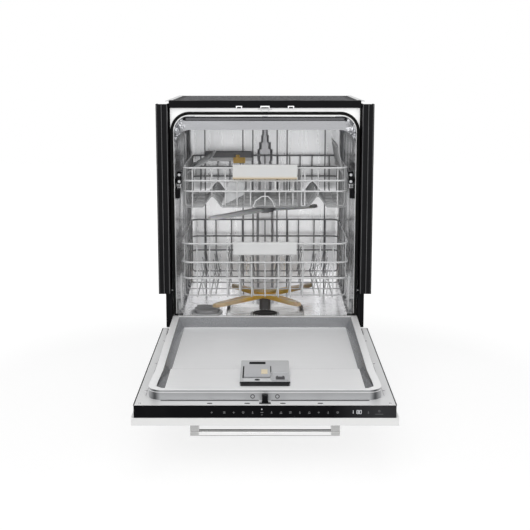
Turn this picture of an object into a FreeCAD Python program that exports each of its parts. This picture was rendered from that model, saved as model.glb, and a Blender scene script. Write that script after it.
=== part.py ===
import FreeCAD, Part
import math
import os

from FreeCAD import Vector

# A panel-ready dishwasher, 60 cm class, drawn with its door open and its racks in.
# Millimetres. X to the right, Y to the back, Z up from the floor.
# Y is counted from the plane that the closed door meets, and every piece is moved
# at the end so that the origin is under the middle of the whole outline.

# Overall sizes
overall_height = 815.0
body_depth = 545.0
front_panel_width = 600.0
sheet = 1.0
panel_sheet = 1.2

# Fits and gaps
running_gap = 0.3
weld_gap = 0.02
pin_clearance = 0.05
past = 1.0
far = 1000.0

# Door, lying open
door_plane = 166.0
door_side_gap = 6.5
door_top_gap = 10.0
door_tail = 51.0
door_thickness = 29.6
hinge_y = -15.0
hinge_drop = 15.0
front_panel_thickness = 18.4
front_panel_tail = 30.0
board_edge = 1.5
control_depth = 14.0
control_wall = 2.5
flange_setback = 0.5

# Raised rim of the door liner, higher at the hinge than at the free edge
free_edge_flange = 34.0
rim_width = 17.0
rim_low = 25.0
rim_high = 40.0
rim_tail = 34.0
rim_corner = 34.0
rim_flare = 4.0
flare_near = 55.0
flare_far = 150.0
pan_floor = 8.0
pan_step = 11.0
pan_step_y = -442.0
pan_wall_slope = 16.0
pan_end_slope = 4.0
pan_corner = 14.0
pan_front_rim = 13.0
pan_back_rim = 12.0

# Tub
casing_setback = 30.5
tub_side_gap = 10.5
tub_back_gap = 35.0
tub_front_y = 62.0
tub_floor_height = 8.0
top_beam_height = 19.0
frame_header = 22.0
ceiling_drop = 42.0
ceiling_step_y = 60.0
opening_bottom = 44.0
opening_corner = 45.0
tub_corner = 24.0
sill_height = 33.0
sill_lip = 10.0
sill_seal_height = 26.0
sill_seal_sheet = 2.0
bead_places = (39.0, 71.0, 193.0)
bead_width = 3.0
bead_height = 1.0
ledge_width = 16.5
ledge_back_gap = 30.0

# Well and holes in the tub floor
well_half_width = 117.0
well_length = 200.0
well_behind_arm = 58.0
well_depth = 14.0
well_corner = 16.0

# Seal, face frame and striker
gasket_inset = 1.5
gasket_width = 8.0
gasket_thickness = 6.5
gasket_gap = 0.5
frame_return = 34.0
tab_x = 71.0
tab_width = 10.0
tab_height = 8.0
tab_thickness = 1.5
striker_reach = 21.0
striker_wall = 3.0
striker_room = 2.5
striker_foot = 8.0

# Casing
panel_low_y = 64.0
panel_high_y = 46.0
panel_bottom = 60.0
panel_top_gap = 2.0
panel_step_height = 60.0
top_shelf = 22.0
felt_drop = 10.0
felt_thickness = 7.0
felt_back_gap = 3.0
rear_panel_bottom = 130.0
rear_channel_x = 80.0
rear_channel_width = 100.0
rear_channel_depth = 7.0
crossbar_y = 4.0
crossbar_wall = 3.0
crossbar_frame_gap = 15.0
fixing_x = 200.0
fixing_y = 28.0
fixing_radius = 2.75

# Gap trims beside the opening
trim_side_gap = 4.0
trim_inset = 1.0
trim_setback = 1.5
trim_depth = 40.0
trim_above_door = 110.0
trim_top_gap = 9.5
trim_wall = 3.0
trim_groove = 3.0
trim_groove_depth = 1.5
trim_groove_place = 13.0
trim_flange_back = 14.0

# Base
base_front_y = 70.0
base_back_gap = 25.0
base_bottom = 28.0
base_wall = 4.0
base_flange = 20.0
toe_thickness = 3.0
toe_side_gap = 5.0
toe_low_gap = 2.0
toe_high_gap = 16.0
toe_lip = 4.0
foot_radius = 20.0
foot_height = 8.0
foot_neck = 12.0
foot_stem_radius = 6.0
foot_stem_length = 62.0
foot_inset = 33.0
foot_end_gap = 25.0
foot_boss = 12.0
foot_boss_height = 50.0

# Hinges
bracket_sheet = 3.0
bracket_y = 78.0
bracket_length = 92.0
bracket_height = 100.0
arm_thickness = 10.0
arm_half_height = 11.0
arm_overlap = 32.0
arm_slot_gap = 1.0
arm_nose_gap = 3.0
arm_slot_rise = 80.0
ear_width = 7.0
ear_half_length = 18.0
pin_radius = 4.0

# Bar handle
bar_length = 341.0
bar_thickness = 10.0
bar_depth = 20.0
bar_edge = 1.5
bar_post = 20.0
bar_standoff = 38.0
bar_setback = 49.0

# Latch
latch_half_width = 6.5
latch_length = 15.5
latch_headroom = 7.6
latch_root = 9.0
latch_top_gap = 9.5
latch_edge = 2.0
latch_gap = 0.8

# Dispenser
dispenser_half_width = 58.5
dispenser_length = 195.0
dispenser_setback = 48.5
dispenser_top = 26.0
dispenser_corner = 5.0
dispenser_lap = 3.0
dispenser_sunk = 14.0
cup_x0 = -49.5
cup_width = 62.0
cup_length = 98.0
cup_setback = 44.5
cup_margin = 4.0
cup_depth = 11.0
cup_corner = 8.0
slot_gap = 18.0
slot_inset = 11.0
slot_length = 22.0
slot_depth = 5.0
lid_thickness = 3.0
lid_corner = 4.0
lid_grip = 4.0
lid_grip_inset = 6.0
cap_x0 = 17.5
cap_width = 36.0
cap_length = 60.0
cap_setback = 16.5
cap_knuckle = 2.0
cap_pin = 1.0
cap_ear = 4.0

# Water system under and in the tub
sump_before_arm = 40.0
sump_radius = 90.0
sump_depth = 88.0
sump_lap = 6.0
sump_wall = 3.0
sump_flange = 12.0
post_radius = 17.0
spindle_radius = 7.0
spindle_length = 16.0
filter_before_arm = 87.0
filter_radius = 36.0
filter_wall = 3.0
filter_rise = 6.0
filter_rim = 6.0
filter_rim_height = 4.0
filter_grip = 8.0
filter_grip_height = 14.0
filter_foot_gap = 2.0
plate_gap = 1.5
plate_thickness = 1.5
salt_before_arm = 57.0
salt_radius = 38.0
salt_neck = 42.0
salt_ring = 5.0
salt_ring_height = 3.0
salt_wall = 4.0
salt_bore_depth = 30.0
salt_cap_height = 10.0
salt_plug_gap = 1.0
salt_plug_length = 14.0
salt_bar_length = 60.0
salt_bar_width = 10.0
salt_bar_height = 9.0
softener_wall_gap = 13.0
softener_sump_gap = 3.0
softener_front = 85.0
softener_back = 115.0
softener_corner = 12.0
softener_bottom = 70.0
softener_top = 157.0
pump_back_gap = 120.0
pump_z = 92.0
pump_radius = 56.0
volute_width = 40.0
motor_radius = 46.0
motor_length = 130.0
motor_ribs = 6
motor_rib_radius = 50.0
motor_rib_width = 4.0
motor_cap_radius = 34.0
motor_cap_length = 12.0
pump_neck_radius = 15.0
saddle_x0 = 60.0
saddle_length = 60.0
saddle_half_width = 16.0
drain_pump_rise = 8.0
drain_snout_radius = 16.0
drain_snout_length = 20.0
drain_motor_radius = 27.0
drain_motor_length = 52.0
inlet_x = -150.0
inlet_z = 70.0
inlet_radius = 13.2
inlet_wall = 4.2
inlet_bore_depth = 22.0
inlet_block_half = 20.0
inlet_block_length = 46.0
inlet_block_rise = 26.0
inlet_block_corner = 4.0
neck_relief = 2.0
drain_x = 160.0
drain_z = 95.0
drain_radius = 10.5
drain_wall = 2.5
drain_collar = 7.0
drain_collar_width = 4.0
drain_inner_length = 12.0
spigot_gap = 1.0

# Duct on the back wall: lengths from the ceiling down, with half width and depth
duct_half_width = 27.5
duct_depth = 20.0
duct_bevel = 8.0
duct_top_gap = 4.0
duct_steps = (
    (40.0, 8.5, 14.0),
    (22.0, 12.0, 16.0),
    (22.0, 18.5, 18.0),
    (38.0, 24.0, 19.0),
    (110.0, 21.0, 19.0),
)

# Spray arms
spray_radius = 214.0
arm_back_gap = 4.0
lower_arm_height = 44.0
lower_arm_angle = 46.0
short_arm_angle = -54.0
short_spray_radius = 172.0
lower_wing_root = 22.0
lower_wing_tip = 14.0
lower_wing_bottom = 3.0
lower_wing_top = 14.0
lower_wing_droop = 2.0
lower_hub_radius = 28.0
lower_hub_height = 18.0
upper_arm_below_floor = 31.0
upper_arm_angle = 41.0
upper_wing_root = 20.0
upper_wing_tip = 12.0
upper_wing_half_height = 5.0
upper_wing_droop = 9.0
upper_hub_radius = 26.0
upper_hub_bottom = 8.0
upper_hub_height = 17.0
wing_bevel = 4.0
jet_radius = 1.6
jet_depth = 3.0
jet_count = 5
feed_height = 18.0
feed_half_width = 15.0
feed_before_arm = 20.0
feed_edge = 4.0
feed_hub_radius = 18.0
feed_nut = 5.0
feed_nut_height = 4.0

# Wires of the racks
wire = 2.5
thin_wire = 1.8
tine_wire = 1.5
rack_corner = 26.0
wire_bend = 9.0
rack_front_y = 58.0
rack_back_gap = 30.0
cross_count = 5
cross_front_gap = 47.0
cross_back_gap = 40.0

# Upper rack
upper_below_ceiling = 106.0
upper_loop_drops = (0.0, 36.0, 66.0)
upper_floor_drop = 113.0
ridge_x = 150.0
ridge_half_width = 27.0
ridge_rise = 35.0
upper_long_half = (41.0, 79.0, 112.0, ridge_x, 205.0)
upper_tine_x = (60.0, 95.0)
upper_tine_height = 48.0
upper_handle_width = 181.0
upper_handle_height = 41.0
upper_handle_rise = 10.0
adjuster_thickness = 4.2
adjuster_gap = 0.5
adjuster_y = 255.0
adjuster_half_length = 75.0
adjuster_rise = 44.0
adjuster_drop = 23.0
adjuster_shoulder_rise = 17.0
adjuster_shoulder_drop = 12.0
adjuster_top_bevel = 30.0
adjuster_low_bevel = 15.0
adjuster_window_half = 30.0
adjuster_window_low = 19.0
adjuster_window_high = 35.0
adjuster_window_corner = 5.0

# Rails and rollers of the upper rack
rail_wall_gap = 3.0
rail_depth = 10.5
rail_inner_height = 20.0
rail_sheet = 2.0
rail_front_y = 75.0
rail_back_gap = 35.0
roller_below_top = 47.0
roller_radius = 9.5
roller_width = 7.0
roller_front_y = 82.0
roller_spacing = 36.0
roller_axle = 3.0
roller_plate = 2.0
roller_plate_margin = 12.0
roller_plate_half = 15.0
roller_plate_corner = 5.0
rail_rest_width = 12.0
rail_rest_height = 26.0
rail_rest_y = 52.0
rail_rest_length = 32.0
rail_rest_gap = 1.0

# Cup shelves and knife tray
shelf_rod = 3.0
shelf_width = 80.0
shelf_length = 300.0
shelf_thickness = 3.0
shelf_slots = 4
shelf_edge = 10.0
shelf_root = 14.0
shelf_bridge = 6.0
shelf_drop = 20.0
left_shelf_tilt = 30.0
right_shelf_tilt = 80.0
knife_x0 = -190.0
knife_length = 150.0
knife_depth = 45.5
knife_below_top = 14.0
knife_height = 28.0
knife_wall = 2.0
knife_hook_width = 16.0
knife_hook_drop = 6.0
knife_slots = 6

# Lower rack
lower_top = 245.0
lower_loop_drops = (0.0, 54.0, 100.0)
lower_floor = 84.0
lower_long_half = (38.0, 73.0, 108.0, 158.0, 194.0)
tine_row_x = (33.0, 68.0, 103.0, 178.0)
folding_row_x = 143.0
folding_axle_end = 8.0
tine_height = 77.0
tine_lean = 9.0
lower_handle_width = 180.0
lower_handle_height = 37.0
lower_handle_rise = 6.0
wheel_wall_gap = 2.0
wheel_radius = 17.0
wheel_width = 7.0
wheel_groove = 2.0
wheel_tread = 4.0
wheel_hub = 4.0
wheel_plate = 3.7
wheel_plate_half = 20.0
wheel_plate_low = 9.0
wheel_plate_rise = 6.0
wheel_plate_corner = 8.0
axle_radius = 4.0
axle_end = 1.5
front_wheel_y = 95.0
rear_wheel_gap = 50.0

# Handles of both racks
handle_depth = 11.0
handle_gap = 0.2
handle_top_bevel = (2.0, 3.0)
handle_low_bevel = (3.0, 4.0)
handle_end = 8.0
handle_front_wall = 4.0
handle_back_wall = 2.5
handle_top_wall = 8.0

# Derived widths
door_width = front_panel_width - 2 * door_side_gap
body_half = door_width / 2 - casing_setback
tub_half_width = body_half - tub_side_gap
rim_half_width = tub_half_width + gasket_inset + gasket_width
frame_half_width = body_half - sheet
trim_inner = body_half + trim_side_gap
trim_outer = front_panel_width / 2 - trim_inset
arm_inner = body_half + bracket_sheet
ledge_inner = tub_half_width - ledge_width
rail_web_x = tub_half_width - rail_wall_gap - rail_depth
upper_half_width = rail_web_x - adjuster_thickness - adjuster_gap - wire
shelf_hinge_x = upper_half_width - wire - 2 * thin_wire - weld_gap - shelf_rod - running_gap
wheel_inner = tub_half_width - wheel_wall_gap - wheel_width
lower_half_width = wheel_inner - running_gap - wheel_plate - weld_gap - wire
foot_x = body_half - foot_inset
softener_outer = body_half - sheet - base_wall - softener_wall_gap
softener_inner = sump_radius + sump_flange + softener_sump_gap
softener_half_width = (softener_outer - softener_inner) / 2
salt_x = -(softener_outer + softener_inner) / 2
knife_x1 = knife_x0 + knife_length
cup_x1 = cup_x0 + cup_width

# Derived heights above the door plane
frame_top = overall_height - door_plane - top_beam_height
opening_height = frame_top - frame_header
ceiling_height = opening_height - ceiling_drop
upper_top = ceiling_height - upper_below_ceiling
upper_floor = upper_top - upper_floor_drop
upper_arm_height = upper_floor - upper_arm_below_floor
roller_height = upper_top - roller_below_top
shelf_hinge_height = upper_top - shelf_drop
knife_bottom = upper_top - knife_below_top

# Derived heights above the floor of the room
felt_bottom = overall_height - felt_drop
floor_top = door_plane + tub_floor_height
hinge_z = door_plane - hinge_drop

# Derived lengths along Y
door_reach = overall_height - door_plane - door_top_gap - hinge_y + hinge_drop
rim_front = door_reach - free_edge_flange
tub_back_y = body_depth - tub_back_gap
base_back_y = body_depth - base_back_gap
arm_centre_y = tub_back_y - duct_depth - arm_back_gap - spray_radius
sump_y = arm_centre_y - sump_before_arm
filter_y = arm_centre_y - filter_before_arm
salt_y = arm_centre_y - salt_before_arm
pump_y = base_back_y - pump_back_gap
well_back_y = arm_centre_y + well_behind_arm
well_front_y = well_back_y - well_length
ledge_back_y = tub_back_y - ledge_back_gap
foot_front_y = base_front_y + foot_end_gap
foot_back_y = base_back_y - foot_end_gap
rack_back_y = tub_back_y - rack_back_gap
rail_back_y = tub_back_y - rail_back_gap
rear_wheel_y = rack_back_y - rear_wheel_gap
roller_rear_y = roller_front_y + roller_spacing
dispenser_y0 = -rim_front + dispenser_setback
dispenser_y1 = dispenser_y0 + dispenser_length
cup_y0 = dispenser_y0 + cup_setback
cup_y1 = cup_y0 + cup_length
latch_y0 = hinge_y - hinge_drop - frame_top + latch_headroom
latch_y1 = latch_y0 + latch_length
bar_y = -door_reach + bar_setback

# Slope of the door rim, which the lower rack, the seal and the face frame follow
rack_slope = (rim_high - rim_low) / (rim_front + rim_tail)
slope_deg = math.degrees(math.atan(rack_slope))

origin_shift = Vector(0, (door_reach - body_depth) / 2, 0)
X_AXIS = Vector(1, 0, 0)
Y_AXIS = Vector(0, 1, 0)
Z_AXIS = Vector(0, 0, 1)
parts = {}


def box(x0, x1, y0, y1, z0, z1):
    return Part.makeBox(x1 - x0, y1 - y0, z1 - z0, Vector(x0, y0, z0))


def disc(radius, length, base, axis):
    return Part.makeCylinder(radius, length, base, axis)


def prism(points, direction):
    """A straight-sided solid on a flat outline of corner points."""
    outline = Part.makePolygon(list(points) + [points[0]])
    return Part.Face(outline).extrude(direction)


def side_prism(outline, x0, x1):
    """An outline of (y, z) corners, extruded across from x0 to x1."""
    return prism([Vector(x0, y, z) for y, z in outline], Vector(x1 - x0, 0, 0))


def plan_prism(outline, z0, z1):
    """An outline of (x, y) corners, extruded up from z0 to z1."""
    return prism([Vector(x, y, z0) for x, y in outline], Vector(0, 0, z1 - z0))


def rounded(shape, radius, axis):
    """The shape with its straight edges along one axis rounded."""
    edges = []
    for edge in shape.Edges:
        if isinstance(edge.Curve, Part.Line) and abs(edge.Curve.Direction.dot(axis)) > 0.999:
            edges.append(edge)
    return shape.makeFillet(radius, edges)


def arch(half_width, bottom, top, corner, y0, y1):
    """A block whose two upper corners are rounded, seen from the front."""
    turn = corner * (1 - math.sqrt(0.5))
    left, right = -half_width, half_width
    points = [
        Vector(left, y0, bottom),
        Vector(left, y0, top - corner),
        Vector(left + turn, y0, top - turn),
        Vector(left + corner, y0, top),
        Vector(right - corner, y0, top),
        Vector(right - turn, y0, top - turn),
        Vector(right, y0, top - corner),
        Vector(right, y0, bottom),
    ]
    edges = [
        Part.LineSegment(points[0], points[1]).toShape(),
        Part.Arc(points[1], points[2], points[3]).toShape(),
        Part.LineSegment(points[3], points[4]).toShape(),
        Part.Arc(points[4], points[5], points[6]).toShape(),
        Part.LineSegment(points[6], points[7]).toShape(),
        Part.LineSegment(points[7], points[0]).toShape(),
    ]
    return Part.Face(Part.Wire(edges)).extrude(Vector(0, y1 - y0, 0))


def bent_path(points, radius):
    """Straight runs through the points, with each corner turned by a tangent arc."""
    arcs = {}
    for i in range(1, len(points) - 1):
        here = points[i]
        back = (points[i - 1] - here).normalize()
        ahead = (points[i + 1] - here).normalize()
        half = back.getAngle(ahead) / 2
        reach = radius / math.tan(half)
        inward = (back + ahead).normalize()
        middle = here + inward * (radius / math.sin(half) - radius)
        arcs[i] = (here + back * reach, middle, here + ahead * reach)
    edges = []
    for i in range(len(points) - 1):
        start = arcs[i][2] if i in arcs else points[i]
        end = arcs[i + 1][0] if i + 1 in arcs else points[i + 1]
        edges.append(Part.LineSegment(start, end).toShape())
        if i + 1 in arcs:
            edges.append(Part.Arc(*arcs[i + 1]).toShape())
    return Part.Wire(edges)


def bent_wire(points, radius, bend, closed=False):
    """A round wire bent along the points, and back to its start if it is closed."""
    if closed:
        middle = (points[0] + points[-1]) * 0.5
        points = [middle] + list(points) + [middle]
    path = bent_path(points, bend)
    start = path.OrderedVertexes[0].Point
    heading = (points[1] - points[0]).normalize()
    section = Part.Wire(Part.Circle(start, heading, radius).toShape())
    return path.makePipeShell([section], True, False)


def rod(start, end, radius):
    run = end - start
    return disc(radius, run.Length, start, run)


def spread(first, last, count):
    """Evenly spaced places from first to last."""
    step = (last - first) / (count - 1)
    return [first + n * step for n in range(count)]


def mirrored(shape):
    return shape.mirror(Vector(0, 0, 0), X_AXIS)


def both_sides(shape):
    return Part.makeCompound([shape, mirrored(shape)])


def both_places(half_places):
    """Places on the right, their mirror images on the left, and the middle."""
    return [-x for x in half_places] + [0.0] + list(half_places)


def sloped(shape, y, z):
    """The shape turned to the slope of the door rim, about a line across at y and z."""
    turned = shape.copy()
    turned.rotate(Vector(0, y, z), X_AXIS, slope_deg)
    return turned


def rim_height(y):
    """How far the door rim stands above the door plane, along its length."""
    return rim_low + (y + rim_front) * rack_slope


def seal_plane_y(z):
    """Where the rim of the closed door comes to, at a height above the floor."""
    place_on_door = hinge_y - hinge_drop - (z - door_plane)
    return hinge_y + hinge_drop + rim_height(place_on_door)


def keep(name, shape):
    parts[name] = shape


frame_y = seal_plane_y(door_plane) + gasket_gap + gasket_thickness
cross_places = spread(rack_front_y + cross_front_gap, rack_back_y - cross_back_gap, cross_count)


# Tub shell: side walls and ceiling in one sheet, with a step in the ceiling
def tub_shell():
    outer_half = tub_half_width + sheet
    inner_corner = opening_corner - sheet
    top_main = door_plane + ceiling_height
    top_front = door_plane + opening_height - gasket_inset
    step = ceiling_step_y
    low = floor_top - past
    main = arch(outer_half, floor_top, top_main + sheet, opening_corner, step, tub_back_y + sheet)
    room = arch(tub_half_width, low, top_main, inner_corner, step - past, tub_back_y + sheet + past)
    throat = arch(outer_half, floor_top, top_front + sheet, opening_corner, 0, step + sheet)
    hollow = arch(tub_half_width, low, top_front, inner_corner, -past, step)
    shell = main.cut(room).fuse(throat.cut(hollow).cut(room)).removeSplitter()
    frame_back = frame_y + panel_sheet + weld_gap
    front_cut = sloped(box(-far, far, -far, frame_back, -far, far), frame_back, door_plane)
    below_frame = box(-far, far, -far, tub_front_y + sheet, 0, door_plane + opening_bottom)
    return shell.cut(front_cut).cut(below_frame)


# Tub back: a pressed sheet with rounded upright corners and upright beads
def round_backed(half_width, y0, y1, z0, z1, corner):
    """A block whose two upright edges at the back are rounded."""
    block = box(-half_width, half_width, y0, y1, z0, z1)
    edges = []
    for edge in block.Edges:
        middle = edge.CenterOfMass
        if abs(middle.y - y1) < weld_gap and abs(abs(middle.x) - half_width) < weld_gap:
            edges.append(edge)
    return block.makeFillet(corner, edges)


def tub_back():
    half = tub_half_width - weld_gap
    skirt = tub_back_y - tub_corner - sheet
    top = door_plane + ceiling_height
    shell = round_backed(half, skirt, tub_back_y + sheet, floor_top, top, tub_corner + sheet)
    hollow = round_backed(half - sheet, skirt - past, tub_back_y, floor_top - past, top + past, tub_corner)
    shell = shell.cut(hollow)
    for place in bead_places:
        bead = box(place - bead_width / 2, place + bead_width / 2,
                   tub_back_y - bead_height, tub_back_y + sheet / 2, floor_top, top)
        shell = shell.fuse(bead).fuse(mirrored(bead))
    outline = arch(half, floor_top - past, top - weld_gap, opening_corner - sheet,
                   skirt - past, tub_back_y + sheet + past)
    return shell.common(outline).removeSplitter()


# Tub floor: sill, wheel ledges and the well for the filter, pressed in one sheet
def well_block(grow, z0, z1):
    """The well for the filter as a block with round corners, grown by the sheet."""
    half = well_half_width + grow
    block = box(-half, half, well_front_y - grow, well_back_y + grow, z0, z1)
    return rounded(block, well_corner + grow, Z_AXIS)


def ledge_outline(inset, bottom):
    """The side view of a wheel ledge, whose top goes on where the door rim ends."""
    y0, y1 = tub_front_y + inset, ledge_back_y - inset
    return [(y0, bottom), (y1, bottom), (y1, door_plane + rim_height(ledge_back_y) - inset),
            (y0, door_plane + rim_height(tub_front_y) - inset)]


def tub_floor():
    half = tub_half_width + sheet
    low = floor_top - sheet
    bottom = floor_top - well_depth
    floor = box(-half, half, tub_front_y, tub_back_y + sheet, low, floor_top)
    sill = box(-half, half, tub_front_y, tub_front_y + sheet, low, door_plane + sill_height)
    cup = well_block(sheet, bottom - sheet, floor_top)
    sump_hole = disc(sump_radius - sump_lap, 2 * well_depth, Vector(0, sump_y, bottom - well_depth), Z_AXIS)
    salt_hole = disc(salt_neck + running_gap, well_depth, Vector(salt_x, salt_y, bottom), Z_AXIS)
    salt_hole = salt_hole.fuse(salt_hole.translated(Z_AXIS))
    pan = floor.fuse(sill).fuse(cup).cut(well_block(0, bottom, floor_top + past))
    pan = pan.cut(sump_hole).cut(salt_hole)
    outer = tub_half_width - weld_gap
    step = side_prism(ledge_outline(0, floor_top - sheet / 2), ledge_inner, outer)
    void = side_prism(ledge_outline(sheet, low - past), ledge_inner + sheet, outer - sheet)
    pan = pan.fuse(step).fuse(mirrored(step))
    return pan.cut(void).cut(mirrored(void)).removeSplitter()


# Face frame, door seal and striker lie on the slope of the closed door's rim
def face_frame():
    low = door_plane + opening_bottom
    top = door_plane + frame_top
    plate = box(-frame_half_width, frame_half_width, frame_y, frame_y + panel_sheet, low, top)
    hole = arch(tub_half_width, low - past, door_plane + opening_height - gasket_inset,
                opening_corner - sheet, frame_y - past, frame_y + 2 * panel_sheet)
    side = box(frame_half_width - panel_sheet, frame_half_width, frame_y, frame_y + frame_return, low, top)
    tab = box(tab_x - tab_width / 2, tab_x + tab_width / 2, frame_y - tab_thickness, frame_y,
              top - past - tab_height, top - past)
    frame = plate.cut(hole)
    for piece in (side, tab):
        frame = frame.fuse(piece).fuse(mirrored(piece))
    return sloped(frame.removeSplitter(), frame_y, door_plane)


def door_gasket():
    inner = tub_half_width + gasket_inset
    low = door_plane + opening_bottom
    top = door_plane + opening_height + gasket_inset
    y0 = frame_y - gasket_thickness
    ring = arch(inner + gasket_width, low, top + gasket_width, opening_corner + gasket_width, y0, frame_y)
    ring = ring.cut(arch(inner, low - past, top, opening_corner, y0 - past, frame_y + past))
    return sloped(ring, frame_y, door_plane)


def sill_seal():
    """The lip along the sill that closes the gap under the door."""
    y1 = tub_front_y
    y0 = y1 - sill_seal_sheet
    z1 = door_plane + sill_height + sill_seal_sheet / 2
    z0 = z1 - sill_seal_height
    lip = z1 - sill_seal_sheet
    outline = [(y0, z0), (y1, z0), (y1, z1), (y1 - sill_lip, z1), (y1 - sill_lip, lip), (y0, lip)]
    return side_prism(outline, -tub_half_width, tub_half_width)


def latch_striker():
    low = door_plane + opening_height + gasket_inset + gasket_width + past
    high = door_plane + frame_top - past
    inner = latch_half_width + striker_room
    outer = inner + striker_wall
    y0 = frame_y - striker_reach
    prong = box(inner, outer, y0, frame_y, low, high)
    bridge = box(-outer, outer, y0, frame_y, high - striker_wall, high)
    ear = outer + striker_foot
    foot_plate = box(-ear, ear, frame_y - striker_wall / 2, frame_y, high - 2 * striker_wall, high)
    striker = prong.fuse(mirrored(prong)).fuse(bridge).fuse(foot_plate).removeSplitter()
    return sloped(striker, frame_y, door_plane)


# Casing
def side_panel():
    step_z = door_plane + panel_step_height
    back = body_depth - panel_sheet
    top = overall_height - panel_top_gap
    outline = [(panel_low_y, panel_bottom), (back, panel_bottom), (back, top), (panel_high_y, top),
               (panel_high_y, step_z), (panel_low_y, step_z)]
    sheet_face = side_prism(outline, body_half - sheet, body_half)
    shelf = box(body_half - top_shelf, body_half - sheet / 2, panel_high_y, back,
                felt_bottom - panel_sheet, felt_bottom)
    return sheet_face.fuse(shelf).removeSplitter()


def rear_panel():
    """The back sheet, with two upright channels pressed inwards."""
    low, high = rear_panel_bottom, felt_bottom
    y0, y1 = body_depth - panel_sheet, body_depth
    sheet_face = box(-body_half, body_half, y0, y1, low, high)
    a, b = rear_channel_x, rear_channel_x + rear_channel_width
    floor_y = y1 - rear_channel_depth
    gap = box(a + panel_sheet, b - panel_sheet, floor_y + panel_sheet, y1 + past, low - past, high + past)
    block = box(a, b, floor_y, y1, low, high)
    shape = sheet_face.fuse(block).fuse(mirrored(block))
    return shape.cut(gap).cut(mirrored(gap)).removeSplitter()


def top_crossbar():
    """The beam over the opening, with the two holes for screws into the worktop."""
    y0, y1 = crossbar_y, panel_high_y - running_gap
    lip = frame_y - crossbar_frame_gap
    low = door_plane + frame_top
    high = overall_height
    w = crossbar_wall
    outline = [(y0, low), (lip, low), (lip, low + w), (y0 + w, low + w),
               (y0 + w, high - w), (y1, high - w), (y1, high), (y0, high)]
    bar = side_prism(outline, -body_half, body_half)
    for x in (-fixing_x, fixing_x):
        bar = bar.cut(disc(fixing_radius, 3 * w, Vector(x, fixing_y, high - 2 * w), Z_AXIS))
    return bar


def top_felt():
    half = body_half - sheet - running_gap
    back = body_depth - panel_sheet - felt_back_gap
    return box(-half, half, panel_high_y, back, felt_bottom, felt_bottom + felt_thickness)


def gap_trim():
    """The black upright that fills the gap between the casing and the cupboard beside it."""
    y0, y1 = trim_setback, trim_setback + trim_depth
    w = trim_wall
    middle = trim_inner + trim_groove_place
    back = panel_high_y + trim_flange_back
    outline = [(trim_inner, y0), (middle, y0), (middle, y0 + trim_groove_depth),
               (middle + trim_groove, y0 + trim_groove_depth), (middle + trim_groove, y0),
               (trim_outer, y0), (trim_outer, y1), (trim_outer - w, y1), (trim_outer - w, y0 + w),
               (trim_inner + w, y0 + w), (trim_inner + w, back), (body_half, back),
               (body_half, back - w), (trim_inner, back - w)]
    return plan_prism(outline, door_plane + trim_above_door, overall_height - trim_top_gap)


# Base with its feet and toe panel
foot_places = [(side * foot_x, y) for side in (-1, 1) for y in (foot_front_y, foot_back_y)]


def base_tray():
    top = floor_top - sheet
    half = body_half - sheet
    w = base_wall
    f = base_flange + w
    tray = box(-half, half, base_front_y, base_back_y, base_bottom, top)
    tray = tray.cut(box(-half + w, half - w, base_front_y + w, base_back_y - w, base_bottom + w, top - w))
    tray = tray.cut(box(-half + f, half - f, base_front_y + f, base_back_y - f, top - w - past, top + past))
    for x, y in foot_places:
        tray = tray.fuse(disc(foot_boss, foot_boss_height, Vector(x, y, base_bottom), Z_AXIS))
    for x, y in foot_places:
        depth = base_bottom + foot_boss_height + past
        tray = tray.cut(disc(foot_stem_radius + running_gap, depth, Vector(x, y, 0), Z_AXIS))
    start = base_back_y - 2 * w
    inlet_hole = disc(inlet_radius + spigot_gap, 3 * w, Vector(inlet_x, start, inlet_z), Y_AXIS)
    drain_hole = disc(drain_radius + spigot_gap, 3 * w, Vector(drain_x, start, drain_z), Y_AXIS)
    return tray.cut(inlet_hole).cut(drain_hole).removeSplitter()


def foot(x, y):
    pad = disc(foot_radius, foot_height, Vector(x, y, 0), Z_AXIS)
    neck = Part.makeCone(foot_neck, foot_stem_radius, foot_height, Vector(x, y, foot_height), Z_AXIS)
    stem = disc(foot_stem_radius, foot_stem_length, Vector(x, y, foot_height), Z_AXIS)
    return pad.fuse(neck).fuse(stem).removeSplitter()


def toe_panel():
    half = body_half - toe_side_gap
    y0, y1 = base_front_y - toe_thickness, base_front_y
    low = base_bottom + toe_low_gap
    sheet_face = box(-half, half, y0, y1, low, door_plane - toe_high_gap)
    lip = box(-half, half, y0 - toe_lip, y1, low, low + toe_thickness)
    return sheet_face.fuse(lip).removeSplitter()


# Door hinges
def hinge_bracket():
    x0, x1 = arm_inner, arm_inner + arm_thickness
    low = hinge_z - bracket_height / 2
    plate = box(body_half, arm_inner, bracket_y, bracket_y + bracket_length, low, low + bracket_height)
    arm = box(x0, x1, hinge_y, bracket_y + arm_overlap,
              hinge_z - arm_half_height, hinge_z + arm_half_height)
    nose = disc(arm_half_height, arm_thickness, Vector(x0, hinge_y, hinge_z), X_AXIS)
    start = Vector(x0 - past, hinge_y, hinge_z)
    hole = disc(pin_radius + pin_clearance, arm_thickness + 2 * past, start, X_AXIS)
    return plate.fuse(arm).fuse(nose).cut(hole).removeSplitter()


def hinge_pin():
    start = Vector(arm_inner - ear_width, hinge_y, hinge_z)
    return disc(pin_radius, arm_thickness + 2 * ear_width, start, X_AXIS)


def arm_slot():
    """The room in the door that each hinge arm needs over the whole swing."""
    x0 = arm_inner - arm_slot_gap
    x1 = arm_inner + arm_thickness + arm_slot_gap
    y0 = hinge_y - arm_half_height - arm_nose_gap
    low = door_plane - door_thickness - past
    return box(x0, x1, y0, door_tail + past, low, door_plane + arm_slot_rise)


# Door
def flared(half, y0, y1, corner=0.0):
    """The plan of the rim or the pan, which spreads a little towards the free edge of the door."""
    wide = half + rim_flare
    right = [(half, y1), (half, -rim_front + flare_far), (wide, -rim_front + flare_near), (wide, y0 + corner)]
    if corner:
        right.append((wide - corner, y0))
    return right + [(-x, y) for x, y in reversed(right)]


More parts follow.
